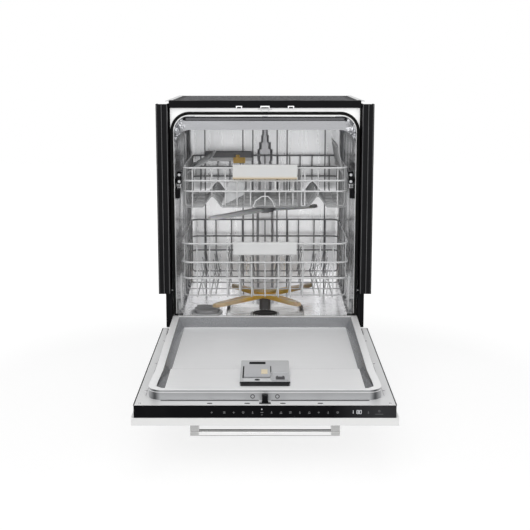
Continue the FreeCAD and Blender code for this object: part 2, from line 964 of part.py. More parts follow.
def pan_block(grow):
    """The hollow of the liner: a pan with slanting walls up to the rim and a raised floor at its free end."""
    half = rim_half_width - rim_width + grow
    y0 = -rim_front + pan_front_rim - grow
    y1 = rim_tail - pan_back_rim + grow
    low = door_plane + pan_floor - grow
    floor_plan = flared(half - pan_wall_slope, y0 + pan_end_slope, y1 - pan_end_slope, pan_corner)
    floor_ring = [Vector(x, y, low) for x, y in floor_plan]
    rim_ring = [Vector(x, y, door_plane + rim_height(y) + past) for x, y in flared(half, y0, y1, pan_corner)]
    rings = [Part.makePolygon(ring + ring[:1]) for ring in (floor_ring, rim_ring)]
    block = Part.makeLoft(rings, True, True)
    return block.cut(box(-far, far, -far, pan_step_y - grow, -far, low + pan_step))


def rim_block(inset):
    """The raised border of the liner as a block, higher at the hinge end."""
    y0, y1 = -rim_front + inset, rim_tail - inset
    low = door_plane - 2 * sheet
    outline = [(y0, low), (y1, low), (y1, door_plane + rim_height(y1) - inset),
               (y0, door_plane + rim_height(y0) - inset)]
    half = rim_half_width - inset
    wide = half + rim_flare
    block = side_prism(outline, -wide, wide)
    block = block.common(plan_prism(flared(half, y0, y1), low, door_plane + 2 * rim_high))
    edges = []
    for edge in block.Edges:
        middle = edge.CenterOfMass
        if abs(middle.y - y0) < weld_gap and abs(abs(middle.x) - wide) < weld_gap:
            edges.append(edge)
    return block.makeFillet(rim_corner - inset, edges)


def latch_hole():
    half = latch_half_width + latch_gap
    return box(-half, half, latch_y0 - latch_gap, latch_y1 + latch_gap,
               door_plane - 2 * sheet, door_plane + past)


def door_liner():
    half = door_width / 2
    flange = box(-half, half, -door_reach + flange_setback, door_tail, door_plane - sheet, door_plane)
    above = box(-half, half, -door_reach, door_tail, door_plane - sheet, door_plane + 2 * rim_high)
    skin = flange.fuse(rim_block(0).common(above)).cut(pan_block(0))
    skin = skin.cut(rim_block(panel_sheet).cut(pan_block(panel_sheet)))
    edge = 2 * sheet
    dispenser_hole = box(-dispenser_half_width + edge, dispenser_half_width - edge,
                         dispenser_y0 + edge, dispenser_y1 - edge,
                         door_plane - edge, door_plane + pan_floor + pan_step + past)
    skin = skin.cut(dispenser_hole).cut(latch_hole())
    return skin.cut(arm_slot()).cut(mirrored(arm_slot())).removeSplitter()


def door_shell():
    half = door_width / 2
    low = door_plane - door_thickness
    high = door_plane - sheet
    y0, y1 = -door_reach + control_depth, door_tail
    t = panel_sheet
    pan = box(-half, half, y0, y1, low, high)
    pan = pan.cut(box(-half + t, half - t, y0 + t, y1 - t, low + t, high + past))
    for x in (arm_inner - arm_slot_gap - ear_width, arm_inner + arm_thickness + arm_slot_gap):
        ear = box(x, x + ear_width, hinge_y - ear_half_length, hinge_y + ear_half_length, low + t / 2, high)
        start = Vector(x - past, hinge_y, hinge_z)
        ear = ear.cut(disc(pin_radius + weld_gap, ear_width + 2 * past, start, X_AXIS))
        pan = pan.fuse(ear).fuse(mirrored(ear))
    return pan.cut(arm_slot()).cut(mirrored(arm_slot())).removeSplitter()


def control_panel():
    half = door_width / 2
    low, high = door_plane - door_thickness, door_plane - sheet
    y0, y1 = -door_reach, -door_reach + control_depth
    w = control_wall
    housing = box(-half, half, y0, y1, low, high)
    return housing.cut(box(-half + w, half - w, y0 + w, y1 + past, low + w, high - w))


def furniture_panel():
    half = front_panel_width / 2
    high = door_plane - door_thickness
    board = box(-half, half, -door_reach, front_panel_tail, high - front_panel_thickness, high)
    return rounded(board, board_edge, X_AXIS)


def bar_handle():
    top = door_plane - door_thickness - front_panel_thickness
    low = top - bar_standoff
    half = bar_length / 2
    y0, y1 = bar_y - bar_depth / 2, bar_y + bar_depth / 2
    bar = rounded(box(-half, half, y0, y1, low, low + bar_thickness), bar_edge, X_AXIS)
    post = box(half - bar_post, half, y0 + bar_edge, y1 - bar_edge, low + bar_thickness / 2, top)
    return bar.fuse(post).fuse(mirrored(post)).removeSplitter()


def door_latch():
    half = latch_half_width
    bolt = box(-half, half, latch_y0, latch_y1,
               door_plane - latch_root, door_plane + rim_low - latch_top_gap)
    return rounded(bolt, latch_edge, X_AXIS)


# Dispenser on the door
dispenser_seat = door_plane + pan_floor + pan_step
dispenser_face = door_plane + dispenser_top
cap_y0 = dispenser_y0 + cap_setback
cap_axis_y = cap_y0 + cap_length
cap_axis_z = dispenser_face + running_gap + cap_knuckle


def dispenser_body():
    half = dispenser_half_width
    y0, y1 = dispenser_y0, dispenser_y1
    high = dispenser_face
    block = rounded(box(-half, half, y0, y1, door_plane + pan_floor, high), dispenser_corner, Z_AXIS)
    block = block.cut(box(-far, far, -far, pan_step_y, -far, dispenser_seat))
    lap = dispenser_lap
    tail = box(-half + lap, half - lap, y0 + lap, y1 - lap,
               door_plane - dispenser_sunk, dispenser_seat + past)
    m = cup_margin
    cup = box(cup_x0 + m, cup_x1 - m, cup_y0 + m, cup_y1 - m, door_plane - cup_depth, high + past)
    slot_y0 = cup_y1 + slot_gap
    slot = box(cup_x0 + slot_inset, cup_x1 - slot_inset, slot_y0, slot_y0 + slot_length,
               high - slot_depth, high + past)
    body = block.fuse(tail).cut(rounded(cup, cup_corner, Z_AXIS)).cut(slot)
    for x0 in (cap_x0 - running_gap - cap_ear, cap_x0 + cap_width + running_gap):
        ear = box(x0, x0 + cap_ear, cap_axis_y - 2 * cap_knuckle, cap_axis_y + cap_knuckle,
                  high - past, cap_axis_z + cap_knuckle)
        start = Vector(x0 - past, cap_axis_y, cap_axis_z)
        hole = disc(cap_pin + pin_clearance, cap_ear + 2 * past, start, X_AXIS)
        body = body.fuse(ear.cut(hole))
    return body.removeSplitter()


def dispenser_lid():
    low = dispenser_face + running_gap
    lid = rounded(box(cup_x0, cup_x1, cup_y0, cup_y1, low, low + lid_thickness), lid_corner, Z_AXIS)
    inset = lid_grip_inset
    grip = box(cup_x0 + inset, cup_x1 - inset, cup_y0 + inset, cup_y0 + inset + lid_grip,
               low + lid_thickness / 2, low + lid_thickness + lid_grip / 2)
    return lid.fuse(grip).removeSplitter()


def rinse_cap():
    """The flap over the rinse aid filler, with a knuckle and two stub pins at its back edge."""
    low = dispenser_face + running_gap
    flap = box(cap_x0, cap_x0 + cap_width, cap_y0, cap_axis_y, low, low + lid_thickness)
    axis_start = Vector(cap_x0, cap_axis_y, cap_axis_z)
    knuckle = disc(cap_knuckle, cap_width, axis_start, X_AXIS)
    stub = cap_ear - past
    pins = disc(cap_pin, cap_width + 2 * stub, axis_start - X_AXIS * stub, X_AXIS)
    return flap.fuse(knuckle).fuse(pins).removeSplitter()


# Water system under and in the tub
sump_top = floor_top - well_depth - sheet
sump_bottom = sump_top - sump_depth
plate_top = floor_top - well_depth + plate_thickness


def sump():
    """The bowl under the well, with the post and spindle that carry the lower spray arm."""
    centre = Vector(0, sump_y, sump_bottom)
    bowl = disc(sump_radius, sump_depth, centre, Z_AXIS)
    flange = disc(sump_radius + sump_flange, sump_wall, Vector(0, sump_y, sump_top - sump_wall), Z_AXIS)
    hollow = disc(sump_radius - sump_wall, sump_depth, centre + Z_AXIS * sump_wall, Z_AXIS)
    post_top = door_plane + lower_arm_height - running_gap
    post = disc(post_radius, post_top - sump_bottom, Vector(0, arm_centre_y, sump_bottom), Z_AXIS)
    spindle = disc(spindle_radius, spindle_length, Vector(0, arm_centre_y, post_top), Z_AXIS)
    return bowl.fuse(flange).cut(hollow).fuse(post).fuse(spindle).removeSplitter()


def filter_plate():
    low = floor_top - well_depth
    plate = well_block(-plate_gap, low, plate_top)
    cup_hole = disc(filter_radius + plate_gap, 4 * plate_thickness, Vector(0, filter_y, low - past), Z_AXIS)
    post_hole = disc(post_radius + past, 4 * plate_thickness, Vector(0, arm_centre_y, low - past), Z_AXIS)
    return plate.cut(cup_hole).cut(post_hole)


def filter_cup():
    low = sump_bottom + sump_wall + filter_foot_gap
    top = floor_top + filter_rise
    base = Vector(0, filter_y, low)
    cup = disc(filter_radius, top - low, base, Z_AXIS)
    rim_base = Vector(0, filter_y, plate_top + running_gap)
    rim = disc(filter_radius + filter_rim, filter_rim_height, rim_base, Z_AXIS)
    hollow = disc(filter_radius - filter_wall, top - low, base + Z_AXIS * filter_wall, Z_AXIS)
    half = filter_radius - past
    grip = box(-half, half, filter_y - filter_grip / 2, filter_y + filter_grip / 2,
               top - filter_grip_height, top)
    return cup.fuse(rim).cut(hollow).fuse(grip).removeSplitter()


def softener():
    """The resin tank beside the sump, whose salt neck comes up through the tub floor."""
    tank = box(salt_x - softener_half_width, salt_x + softener_half_width,
               salt_y - softener_front, salt_y + softener_back, softener_bottom, softener_top)
    tank = rounded(tank, softener_corner, Z_AXIS)
    ring_top = floor_top + salt_ring_height
    neck = disc(salt_neck, ring_top - softener_top, Vector(salt_x, salt_y, softener_top), Z_AXIS)
    ring = disc(salt_neck + salt_ring, salt_ring_height, Vector(salt_x, salt_y, floor_top), Z_AXIS)
    low = softener_top - salt_bore_depth
    bore = disc(salt_radius - salt_wall, ring_top - low + past, Vector(salt_x, salt_y, low), Z_AXIS)
    return tank.fuse(neck).fuse(ring).cut(bore).removeSplitter()


def salt_cap():
    low = floor_top + salt_ring_height + running_gap
    cap = disc(salt_radius, salt_cap_height, Vector(salt_x, salt_y, low), Z_AXIS)
    plug_radius = salt_radius - salt_wall - salt_plug_gap
    plug = disc(plug_radius, salt_plug_length, Vector(salt_x, salt_y, low - salt_plug_length), Z_AXIS)
    half, across = salt_bar_length / 2, salt_bar_width / 2
    top = low + salt_cap_height
    bar = box(salt_x - half, salt_x + half, salt_y - across, salt_y + across,
              top - past, top + salt_bar_height)
    return cap.fuse(plug).fuse(rounded(bar, across - past, Z_AXIS)).removeSplitter()


def circulation_pump():
    """The wash pump: volute on the sump, ribbed motor, end cap and rubber saddle."""
    centre = Vector(0, pump_y, pump_z)
    half = volute_width / 2
    pump = disc(pump_radius, volute_width, centre - X_AXIS * half, X_AXIS)
    pump = pump.fuse(disc(motor_radius, motor_length, centre + X_AXIS * half, X_AXIS))
    end = half + motor_length
    pump = pump.fuse(disc(motor_cap_radius, motor_cap_length, centre + X_AXIS * end, X_AXIS))
    rib_pitch = motor_length / (motor_ribs + 1)
    for n in range(motor_ribs):
        start = half + (n + 1) * rib_pitch - motor_rib_width / 2
        pump = pump.fuse(disc(motor_rib_radius, motor_rib_width, centre + X_AXIS * start, X_AXIS))
    neck_start = sump_y + sump_radius + running_gap
    neck = disc(pump_neck_radius, pump_y - neck_start, Vector(0, neck_start, pump_z), Y_AXIS)
    saddle = box(saddle_x0, saddle_x0 + saddle_length,
                 pump_y - saddle_half_width, pump_y + saddle_half_width,
                 base_bottom + base_wall, pump_z)
    return pump.fuse(neck).fuse(saddle).removeSplitter()


def drain_pump():
    start = Vector(sump_radius + running_gap, sump_y, pump_z + drain_pump_rise)
    snout = disc(drain_snout_radius, drain_snout_length, start, X_AXIS)
    motor_start = start + X_AXIS * (drain_snout_length - past)
    motor = disc(drain_motor_radius, drain_motor_length, motor_start, X_AXIS)
    return snout.fuse(motor).removeSplitter()


def inlet_valve():
    y1 = base_back_y - base_wall
    half = inlet_block_half
    block = box(inlet_x - half, inlet_x + half, y1 - inlet_block_length, y1,
                base_bottom + base_wall, inlet_z + inlet_block_rise)
    block = rounded(block, inlet_block_corner, Z_AXIS)
    neck_end = base_back_y + spigot_gap
    neck_start = Vector(inlet_x, y1 - past, inlet_z)
    neck = disc(inlet_radius - neck_relief, neck_end - y1 + past, neck_start, Y_AXIS)
    spigot = disc(inlet_radius, body_depth - neck_end, Vector(inlet_x, neck_end, inlet_z), Y_AXIS)
    start = Vector(inlet_x, body_depth - inlet_bore_depth, inlet_z)
    bore = disc(inlet_radius - inlet_wall, inlet_bore_depth, start, Y_AXIS)
    return block.fuse(neck).fuse(spigot).cut(bore).removeSplitter()


def drain_spigot():
    start = base_back_y - base_wall - drain_inner_length
    outside = Vector(drain_x, base_back_y, drain_z)
    tube = disc(drain_radius, body_depth - base_back_y, outside, Y_AXIS)
    neck = disc(drain_radius - spigot_gap, base_back_y - start, Vector(drain_x, start, drain_z), Y_AXIS)
    collar = disc(drain_radius + drain_collar, drain_collar_width, outside, Y_AXIS)
    length = body_depth - start + 2 * past
    bore = disc(drain_radius - drain_wall, length, Vector(drain_x, start - past, drain_z), Y_AXIS)
    return tube.fuse(neck).fuse(collar).cut(bore).removeSplitter()


def duct_block(half, depth, z0, z1):
    """One length of the flat duct on the back wall, with bevelled front corners."""
    back = tub_back_y
    front = back - depth
    bevel = min(duct_bevel, half / 2, depth / 2)
    outline = [(-half, back), (-half, front + bevel), (-half + bevel, front),
               (half - bevel, front), (half, front + bevel), (half, back)]
    return plan_prism(outline, z0, z1)


def water_duct():
    """The duct that feeds the upper arm, narrowing in steps up to the ceiling jet."""
    top = door_plane + ceiling_height - duct_top_gap
    lengths = []
    for length, half, depth in duct_steps:
        lengths.append(duct_block(half, depth, top - length, top))
        top -= length
    return duct_block(duct_half_width, duct_depth, floor_top, top).multiFuse(lengths).removeSplitter()


# Spray arms
def wing(radius, root, tip, bottom, top, droop):
    """One wing of a spray arm: wide at the hub, narrow and lower at its tip, with jets in its top."""
    shoulder_x = radius - 2 * tip

    def section(x, half, drop):
        low, high = bottom - drop, top - drop
        middle = (low + high) / 2
        corners = [(-half, low), (half, low), (half, middle), (half - wing_bevel, high),
                   (-half + wing_bevel, high), (-half, middle)]
        points = [Vector(x, arm_centre_y + y, z) for y, z in corners]
        return Part.makePolygon(points + [points[0]])

    sections = [section(0, root, 0), section(shoulder_x, tip, droop), section(radius, tip / 2, droop)]
    shape = Part.makeLoft(sections, True, True)
    for x in spread(shoulder_x / 3, shoulder_x, jet_count):
        base = top - droop * x / shoulder_x - jet_depth
        shape = shape.cut(disc(jet_radius, 2 * jet_depth, Vector(x, arm_centre_y, base), Z_AXIS))
    return shape


def blade(radius, root, tip, bottom, top, droop, angle):
    """Two opposite wings of a spray arm, turned to an angle."""
    centre = Vector(0, arm_centre_y, 0)
    right = wing(radius, root, tip, bottom, top, droop)
    left = right.copy()
    left.rotate(centre, Z_AXIS, 180)
    both = right.fuse(left)
    both.rotate(centre, Z_AXIS, angle)
    return both


def hub_bore(z):
    """The running bore of a spray arm on its spindle, about a height."""
    reach = 2 * lower_hub_height
    return disc(spindle_radius + pin_clearance, 2 * reach, Vector(0, arm_centre_y, z - reach), Z_AXIS)


def lower_spray_arm():
    z = door_plane + lower_arm_height
    low, high = z + lower_wing_bottom, z + lower_wing_top
    arm = disc(lower_hub_radius, lower_hub_height, Vector(0, arm_centre_y, z), Z_AXIS)
    for radius, angle in ((spray_radius, lower_arm_angle), (short_spray_radius, short_arm_angle)):
        arm = arm.fuse(blade(radius, lower_wing_root, lower_wing_tip, low, high, lower_wing_droop, angle))
    return arm.cut(hub_bore(z)).removeSplitter()


def upper_spray_arm():
    z = door_plane + upper_arm_height
    low, high = z - upper_wing_half_height, z + upper_wing_half_height
    arm = disc(upper_hub_radius, upper_hub_height, Vector(0, arm_centre_y, z - upper_hub_bottom), Z_AXIS)
    arm = arm.fuse(blade(spray_radius, upper_wing_root, upper_wing_tip, low, high,
                         upper_wing_droop, upper_arm_angle))
    return arm.cut(hub_bore(z)).removeSplitter()


def upper_arm_feed():
    """The pipe under the upper basket that docks on the duct and carries the upper arm."""
    z = door_plane + upper_arm_height
    top = door_plane + upper_floor - thin_wire - weld_gap
    low = top - feed_height
    hub_top = z - upper_hub_bottom + upper_hub_height + running_gap
    nut_low = z - upper_hub_bottom - running_gap - feed_nut_height
    pipe = box(-feed_half_width, feed_half_width, arm_centre_y - feed_before_arm,
               tub_back_y - duct_depth - running_gap, low, top)
    hub = disc(feed_hub_radius, low - hub_top + past, Vector(0, arm_centre_y, hub_top), Z_AXIS)
    spindle = disc(spindle_radius, hub_top - nut_low, Vector(0, arm_centre_y, nut_low), Z_AXIS)
    nut = disc(spindle_radius + feed_nut, feed_nut_height, Vector(0, arm_centre_y, nut_low), Z_AXIS)
    return rounded(pipe, feed_edge, Y_AXIS).fuse(hub).fuse(spindle).fuse(nut).removeSplitter()


# Racks
def ridge_crest():
    """How far the rounded crest of a ridge stands above the floor wires."""
    half_angle = math.atan(ridge_half_width / ridge_rise)
    return ridge_rise - wire_bend * (1 / math.sin(half_angle) - 1)


def basket(half_width, levels, floor, long_places, ridges):
    """A welded wire basket: round loops outside, and bent cross and long wires inside them.

    The cross wires go over a ridge at each of the ridge places, and a long wire lies on its crest.
    """
    leg = wire + thin_wire + weld_gap
    y0, y1 = rack_front_y, rack_back_y
    pieces = []
    for level in levels:
        z = door_plane + level
        corners = [Vector(-half_width, y0, z), Vector(half_width, y0, z),
                   Vector(half_width, y1, z), Vector(-half_width, y1, z)]
        pieces.append(bent_wire(corners, wire, rack_corner, closed=True))
    high = door_plane + levels[0] + wire
    low = door_plane + floor
    x = half_width - leg
    for y in cross_places:
        route = [Vector(-x, y, high), Vector(-x, y, low)]
        for place in ridges:
            route.append(Vector(place - ridge_half_width, y, low))
            route.append(Vector(place, y, low + ridge_rise))
            route.append(Vector(place + ridge_half_width, y, low))
        route += [Vector(x, y, low), Vector(x, y, high)]
        pieces.append(bent_wire(route, thin_wire, wire_bend))
    for place in long_places:
        seat = low + 2 * thin_wire + weld_gap
        if place in ridges:
            seat += ridge_crest()
        route = [Vector(place, y0 + leg, high), Vector(place, y0 + leg, seat),
                 Vector(place, y1 - leg, seat), Vector(place, y1 - leg, high)]
        pieces.append(bent_wire(route, thin_wire, wire_bend))
    return pieces


def tine(x, y, z, height, lean):
    """An upright rack tine, leaning away from the middle."""
    run = Vector(height * math.tan(math.radians(lean)), 0, height)
    return rod(Vector(x, y, z), Vector(x, y, z) + run, tine_wire)


def tine_rows(places, floor, height, lean):
    """Fixed tines on the cross wires, the same on both sides."""
    seat = door_plane + floor + thin_wire + weld_gap
    pieces = []
    for x in places:
        for y in cross_places:
            pieces.append(tine(x, y, seat, height, lean))
            pieces.append(tine(-x, y, seat, height, -lean))
    return pieces


def upper_basket():
    levels = [upper_top - drop for drop in upper_loop_drops]
    ridges = (-ridge_x, ridge_x)
    pieces = basket(upper_half_width, levels, upper_floor, both_places(upper_long_half), ridges)
    return Part.makeCompound(pieces + tine_rows(upper_tine_x, upper_floor, upper_tine_height, 0))


slope_pivot_z = door_plane + rim_height(tub_front_y)
axle_z = slope_pivot_z + wheel_radius + running_gap
lower_levels = [lower_top - drop for drop in lower_loop_drops]


def on_slope(shape):
    return sloped(shape, tub_front_y, slope_pivot_z)


def wheel_bracket(y):
    """The plate that hangs from the lowest loop and carries one wheel on its axle."""
    x0 = lower_half_width + wire + weld_gap
    x1 = x0 + wheel_plate
    high = door_plane + lower_levels[-1] + wheel_plate_rise
    plate = box(x0, x1, y - wheel_plate_half, y + wheel_plate_half, axle_z - wheel_plate_low, high)
    length = running_gap + wheel_width + axle_end
    axle = disc(axle_radius, length, Vector(x1 - weld_gap, y, axle_z), X_AXIS)
    return rounded(plate, wheel_plate_corner, X_AXIS).fuse(axle).removeSplitter()


def lower_basket():
    pieces = basket(lower_half_width, lower_levels, lower_floor, both_places(lower_long_half), ())
    pieces += tine_rows(tine_row_x, lower_floor, tine_height, tine_lean)
    for y in (front_wheel_y, rear_wheel_y):
        pieces.append(wheel_bracket(y))
        pieces.append(mirrored(wheel_bracket(y)))
    return on_slope(Part.makeCompound(pieces))


def wheel_pair(y):
    start = Vector(wheel_inner, y, axle_z)
    outside = start + X_AXIS * (wheel_width - wheel_groove)
    rim = disc(wheel_radius, wheel_width, start, X_AXIS)
    hole = disc(axle_radius + pin_clearance, wheel_width + 2 * past, start - X_AXIS * past, X_AXIS)
    groove = disc(wheel_radius - wheel_tread, wheel_groove, outside, X_AXIS)
    hub = disc(axle_radius + wheel_hub, wheel_groove, outside, X_AXIS)
    return on_slope(both_sides(rim.cut(groove.cut(hub)).cut(hole)))


def folding_tines():
    """The right row of tines on its own axle wire, which folds flat towards the middle."""
    z = door_plane + lower_floor + 2 * thin_wire + running_gap
    x = folding_row_x
    axle = rod(Vector(x, cross_places[0] - folding_axle_end, z),
               Vector(x, cross_places[-1] + folding_axle_end, z), thin_wire)
    row = []
    for near, back in zip(cross_places, cross_places[1:]):
        row.append(tine(x, (near + back) / 2, z, tine_height, tine_lean))
    return on_slope(axle.multiFuse(row))


def rack_handle(width, height, top):
    """A moulded front handle with a finger ledge under its upper edge."""
    y1 = rack_front_y - wire - handle_gap
    y0 = y1 - handle_depth
    z1 = door_plane + top
    z0 = z1 - height
    outline = [(y1, z0), (y1, z1), (y0 + handle_top_bevel[0], z1), (y0, z1 - handle_top_bevel[1]),
               (y0, z0 + handle_low_bevel[1]), (y0 + handle_low_bevel[0], z0)]
    body = side_prism(outline, -width / 2, width / 2)
    half = width / 2 - handle_end
    groove = box(-half, half, y0 + handle_front_wall, y1 - handle_back_wall,
                 z0 - past, z1 - handle_top_wall)
    return body.cut(groove)


def upper_handle():
    return rack_handle(upper_handle_width, upper_handle_height, upper_top + upper_handle_rise)


def lower_handle():
    return on_slope(rack_handle(lower_handle_width, lower_handle_height, lower_top + lower_handle_rise))


def slide_rail():
    """The channel on each side of the upper rack that runs on the guide rollers."""
    half = rail_inner_height / 2
    z = door_plane + roller_height
    x0, x1 = rail_web_x, rail_web_x + rail_depth
    y0, y1 = rail_front_y, rail_back_y
    block = box(x0, x1, y0, y1, z - half - rail_sheet, z + half + rail_sheet)
    return block.cut(box(x0 + rail_sheet, x1 + past, y0 - past, y1 + past, z - half, z + half))


def roller_bracket():
    """The plate on each tub wall with the two roller axles, and a rest under the front of the rail."""
    x1 = tub_half_width - weld_gap
    x0 = x1 - roller_plate
    z = door_plane + roller_height
    plate = box(x0, x1, roller_front_y - roller_plate_margin, roller_rear_y + roller_plate_margin,
                z - roller_plate_half, z + roller_plate_half)
    plate = rounded(plate, roller_plate_corner, X_AXIS)
    rest_top = z - rail_inner_height / 2 - rail_sheet - rail_rest_gap
    rest = box(x1 - rail_rest_width, x1, rail_rest_y, rail_rest_y + rail_rest_length,
               rest_top - rail_rest_height, rest_top)
    plate = plate.fuse(rest)
    start = x0 - roller_width - running_gap
    for y in (roller_front_y, roller_rear_y):
        plate = plate.fuse(disc(roller_axle, x1 - start - weld_gap, Vector(start, y, z), X_AXIS))
    return plate.removeSplitter()


def roller_pair(y):
    x0 = tub_half_width - weld_gap - roller_plate - running_gap - roller_width
    start = Vector(x0, y, door_plane + roller_height)
    roller = disc(roller_radius, roller_width, start, X_AXIS)
    hole = disc(roller_axle + pin_clearance, roller_width + 2 * past, start - X_AXIS * past, X_AXIS)
    return both_sides(roller.cut(hole))


def rack_adjuster():
    """The height adjuster between each rail and the upper basket."""
    x0, x1 = rail_web_x - adjuster_thickness, rail_web_x
    z = door_plane + roller_height
    y0, y1 = adjuster_y - adjuster_half_length, adjuster_y + adjuster_half_length
    low, high = z - adjuster_drop, z + adjuster_rise
    shoulder_low, shoulder_high = z - adjuster_shoulder_drop, z + adjuster_shoulder_rise
    outline = [(y0, shoulder_low), (y0 + adjuster_low_bevel, low), (y1 - adjuster_low_bevel, low),
               (y1, shoulder_low), (y1, shoulder_high), (y1 - adjuster_top_bevel, high),
               (y0 + adjuster_top_bevel, high), (y0, shoulder_high)]
    half = adjuster_window_half
    window = box(x0 - past, x1 + past, adjuster_y - half, adjuster_y + half,
                 z + adjuster_window_low, z + adjuster_window_high)
    return side_prism(outline, x0, x1).cut(rounded(window, adjuster_window_corner, X_AXIS))


def cup_shelf(tilt):
    """A slotted shelf that folds on a rod along the right side of the upper basket."""
    z = door_plane + shelf_hinge_height
    y0, y1 = arm_centre_y - shelf_length / 2, arm_centre_y + shelf_length / 2
    x0, x1 = shelf_hinge_x - shelf_width, shelf_hinge_x
    low, high = z - shelf_thickness / 2, z + shelf_thickness / 2
    plate = rounded(box(x0, x1, y0, y1, low, high), shelf_thickness / 3, Y_AXIS)
    span = shelf_length / shelf_slots
    for n in range(shelf_slots):
        slot = box(x0 + shelf_edge, x1 - shelf_root, y0 + n * span + shelf_bridge,
                   y0 + (n + 1) * span - shelf_bridge, low - past, high + past)
        plate = plate.cut(rounded(slot, shelf_bridge, Z_AXIS))
    shelf = plate.fuse(rod(Vector(x1, y0, z), Vector(x1, y1, z), shelf_rod)).removeSplitter()
    shelf.rotate(Vector(x1, 0, z), Y_AXIS, tilt)
    return shelf


def knife_rack():
    """A narrow tray inside the back of the upper basket, hooked over its top loop."""
    low = door_plane + knife_bottom
    high = low + knife_height
    w = knife_wall
    leg_face = rack_back_y - wire - 2 * thin_wire - weld_gap
    y1 = leg_face - running_gap
    y0 = y1 - knife_depth
    tray = rounded(box(knife_x0, knife_x1, y0, y1, low, high), 2 * w, Z_AXIS)
    tray = tray.cut(box(knife_x0 + w, knife_x1 - w, y0 + w, y1 - w, low + w, high + past))
    span = (knife_length - 4 * w) / knife_slots
    for n in range(knife_slots):
        left = knife_x0 + 2 * w + n * span
        tray = tray.cut(box(left + w, left + span - w, y0 + 3 * w, y1 - 3 * w, low - past, low + w + past))
    seat = door_plane + upper_top + wire + running_gap
    behind = rack_back_y + wire + running_gap
    for outer, inner in zip(upper_long_half[-1:1:-1], upper_long_half[-2:0:-1]):
        x0 = -(outer + inner) / 2 - knife_hook_width / 2
        x1 = x0 + knife_hook_width
        hook = box(x0, x1, y1 - w, behind + w, seat, seat + w)
        tip = box(x0, x1, behind, behind + w, seat - knife_hook_drop, seat + w)
        tray = tray.fuse(hook).fuse(tip)
    return tray.removeSplitter()


keep("tub_shell", tub_shell())
keep("tub_back", tub_back())
keep("tub_floor", tub_floor())
keep("face_frame", face_frame())
keep("door_gasket", door_gasket())
keep("sill_seal", sill_seal())
keep("latch_striker", latch_striker())
keep("right_side_panel", side_panel())
keep("left_side_panel", mirrored(side_panel()))
keep("rear_panel", rear_panel())
keep("top_crossbar", top_crossbar())
keep("top_felt", top_felt())
keep("right_gap_trim", gap_trim())
keep("left_gap_trim", mirrored(gap_trim()))
keep("base_tray", base_tray())
keep("toe_panel", toe_panel())
keep("front_left_foot", foot(-foot_x, foot_front_y))
keep("front_right_foot", foot(foot_x, foot_front_y))
keep("rear_left_foot", foot(-foot_x, foot_back_y))
keep("rear_right_foot", foot(foot_x, foot_back_y))
keep("hinge_brackets", both_sides(hinge_bracket()))
keep("hinge_pins", both_sides(hinge_pin()))
keep("door_liner", door_liner())
keep("door_shell", door_shell())
keep("control_panel", control_panel())
keep("furniture_panel", furniture_panel())
keep("bar_handle", bar_handle())
keep("door_latch", door_latch())
keep("dispenser_body", dispenser_body())
keep("dispenser_lid", dispenser_lid())
keep("rinse_cap", rinse_cap())
keep("sump", sump())
keep("filter_plate", filter_plate())
keep("filter_cup", filter_cup())
keep("softener", softener())
keep("salt_cap", salt_cap())
keep("circulation_pump", circulation_pump())
keep("drain_pump", drain_pump())
keep("inlet_valve", inlet_valve())
keep("drain_spigot", drain_spigot())
keep("water_duct", water_duct())
keep("lower_spray_arm", lower_spray_arm())
keep("upper_spray_arm", upper_spray_arm())
keep("upper_arm_feed", upper_arm_feed())
keep("upper_basket", upper_basket())
keep("upper_handle", upper_handle())
keep("slide_rails", both_sides(slide_rail()))
keep("roller_brackets", both_sides(roller_bracket()))
keep("front_guide_rollers", roller_pair(roller_front_y))
keep("rear_guide_rollers", roller_pair(roller_rear_y))
keep("rack_adjusters", both_sides(rack_adjuster()))
keep("right_cup_shelf", cup_shelf(right_shelf_tilt))
keep("left_cup_shelf", mirrored(cup_shelf(left_shelf_tilt)))
keep("knife_rack", knife_rack())
keep("lower_basket", lower_basket())
keep("lower_handle", lower_handle())
keep("front_wheels", wheel_pair(front_wheel_y))
keep("rear_wheels", wheel_pair(rear_wheel_y))
keep("right_folding_tines", folding_tines())
keep("left_folding_tines", mirrored(folding_tines()))

os.makedirs("parts", exist_ok=True)
for name, shape in parts.items():
    placed = shape.copy()
    placed.translate(origin_shift)
    placed.exportStep("parts/" + name + ".step")
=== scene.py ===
import bmesh
import bpy
import math
from mathutils import Matrix, Vector


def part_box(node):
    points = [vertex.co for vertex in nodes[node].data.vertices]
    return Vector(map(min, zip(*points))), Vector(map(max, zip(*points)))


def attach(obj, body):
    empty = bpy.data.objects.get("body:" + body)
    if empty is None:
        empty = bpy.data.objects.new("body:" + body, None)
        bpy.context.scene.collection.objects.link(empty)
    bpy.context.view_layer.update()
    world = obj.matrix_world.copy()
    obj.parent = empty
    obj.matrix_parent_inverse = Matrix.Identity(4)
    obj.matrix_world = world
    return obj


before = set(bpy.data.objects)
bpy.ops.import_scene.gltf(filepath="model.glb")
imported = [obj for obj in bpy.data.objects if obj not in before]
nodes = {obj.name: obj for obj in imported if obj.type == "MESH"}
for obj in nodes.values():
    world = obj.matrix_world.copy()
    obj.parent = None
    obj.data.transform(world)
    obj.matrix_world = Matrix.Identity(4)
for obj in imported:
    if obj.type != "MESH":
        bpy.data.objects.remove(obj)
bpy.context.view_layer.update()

# Camera, fitted to the photograph's perspective
camera_place = Vector((0.0, -2.9343, 0.9169))
camera_pitch = math.radians(10.541)
camera_lens = 73.9
camera_sensor = 36.0

# Where the drawing's zero lies in the frame: the front plane of the casing and the plane of the open door
front_plane = 0.062
door_plane = 0.166
millimetre = 0.001

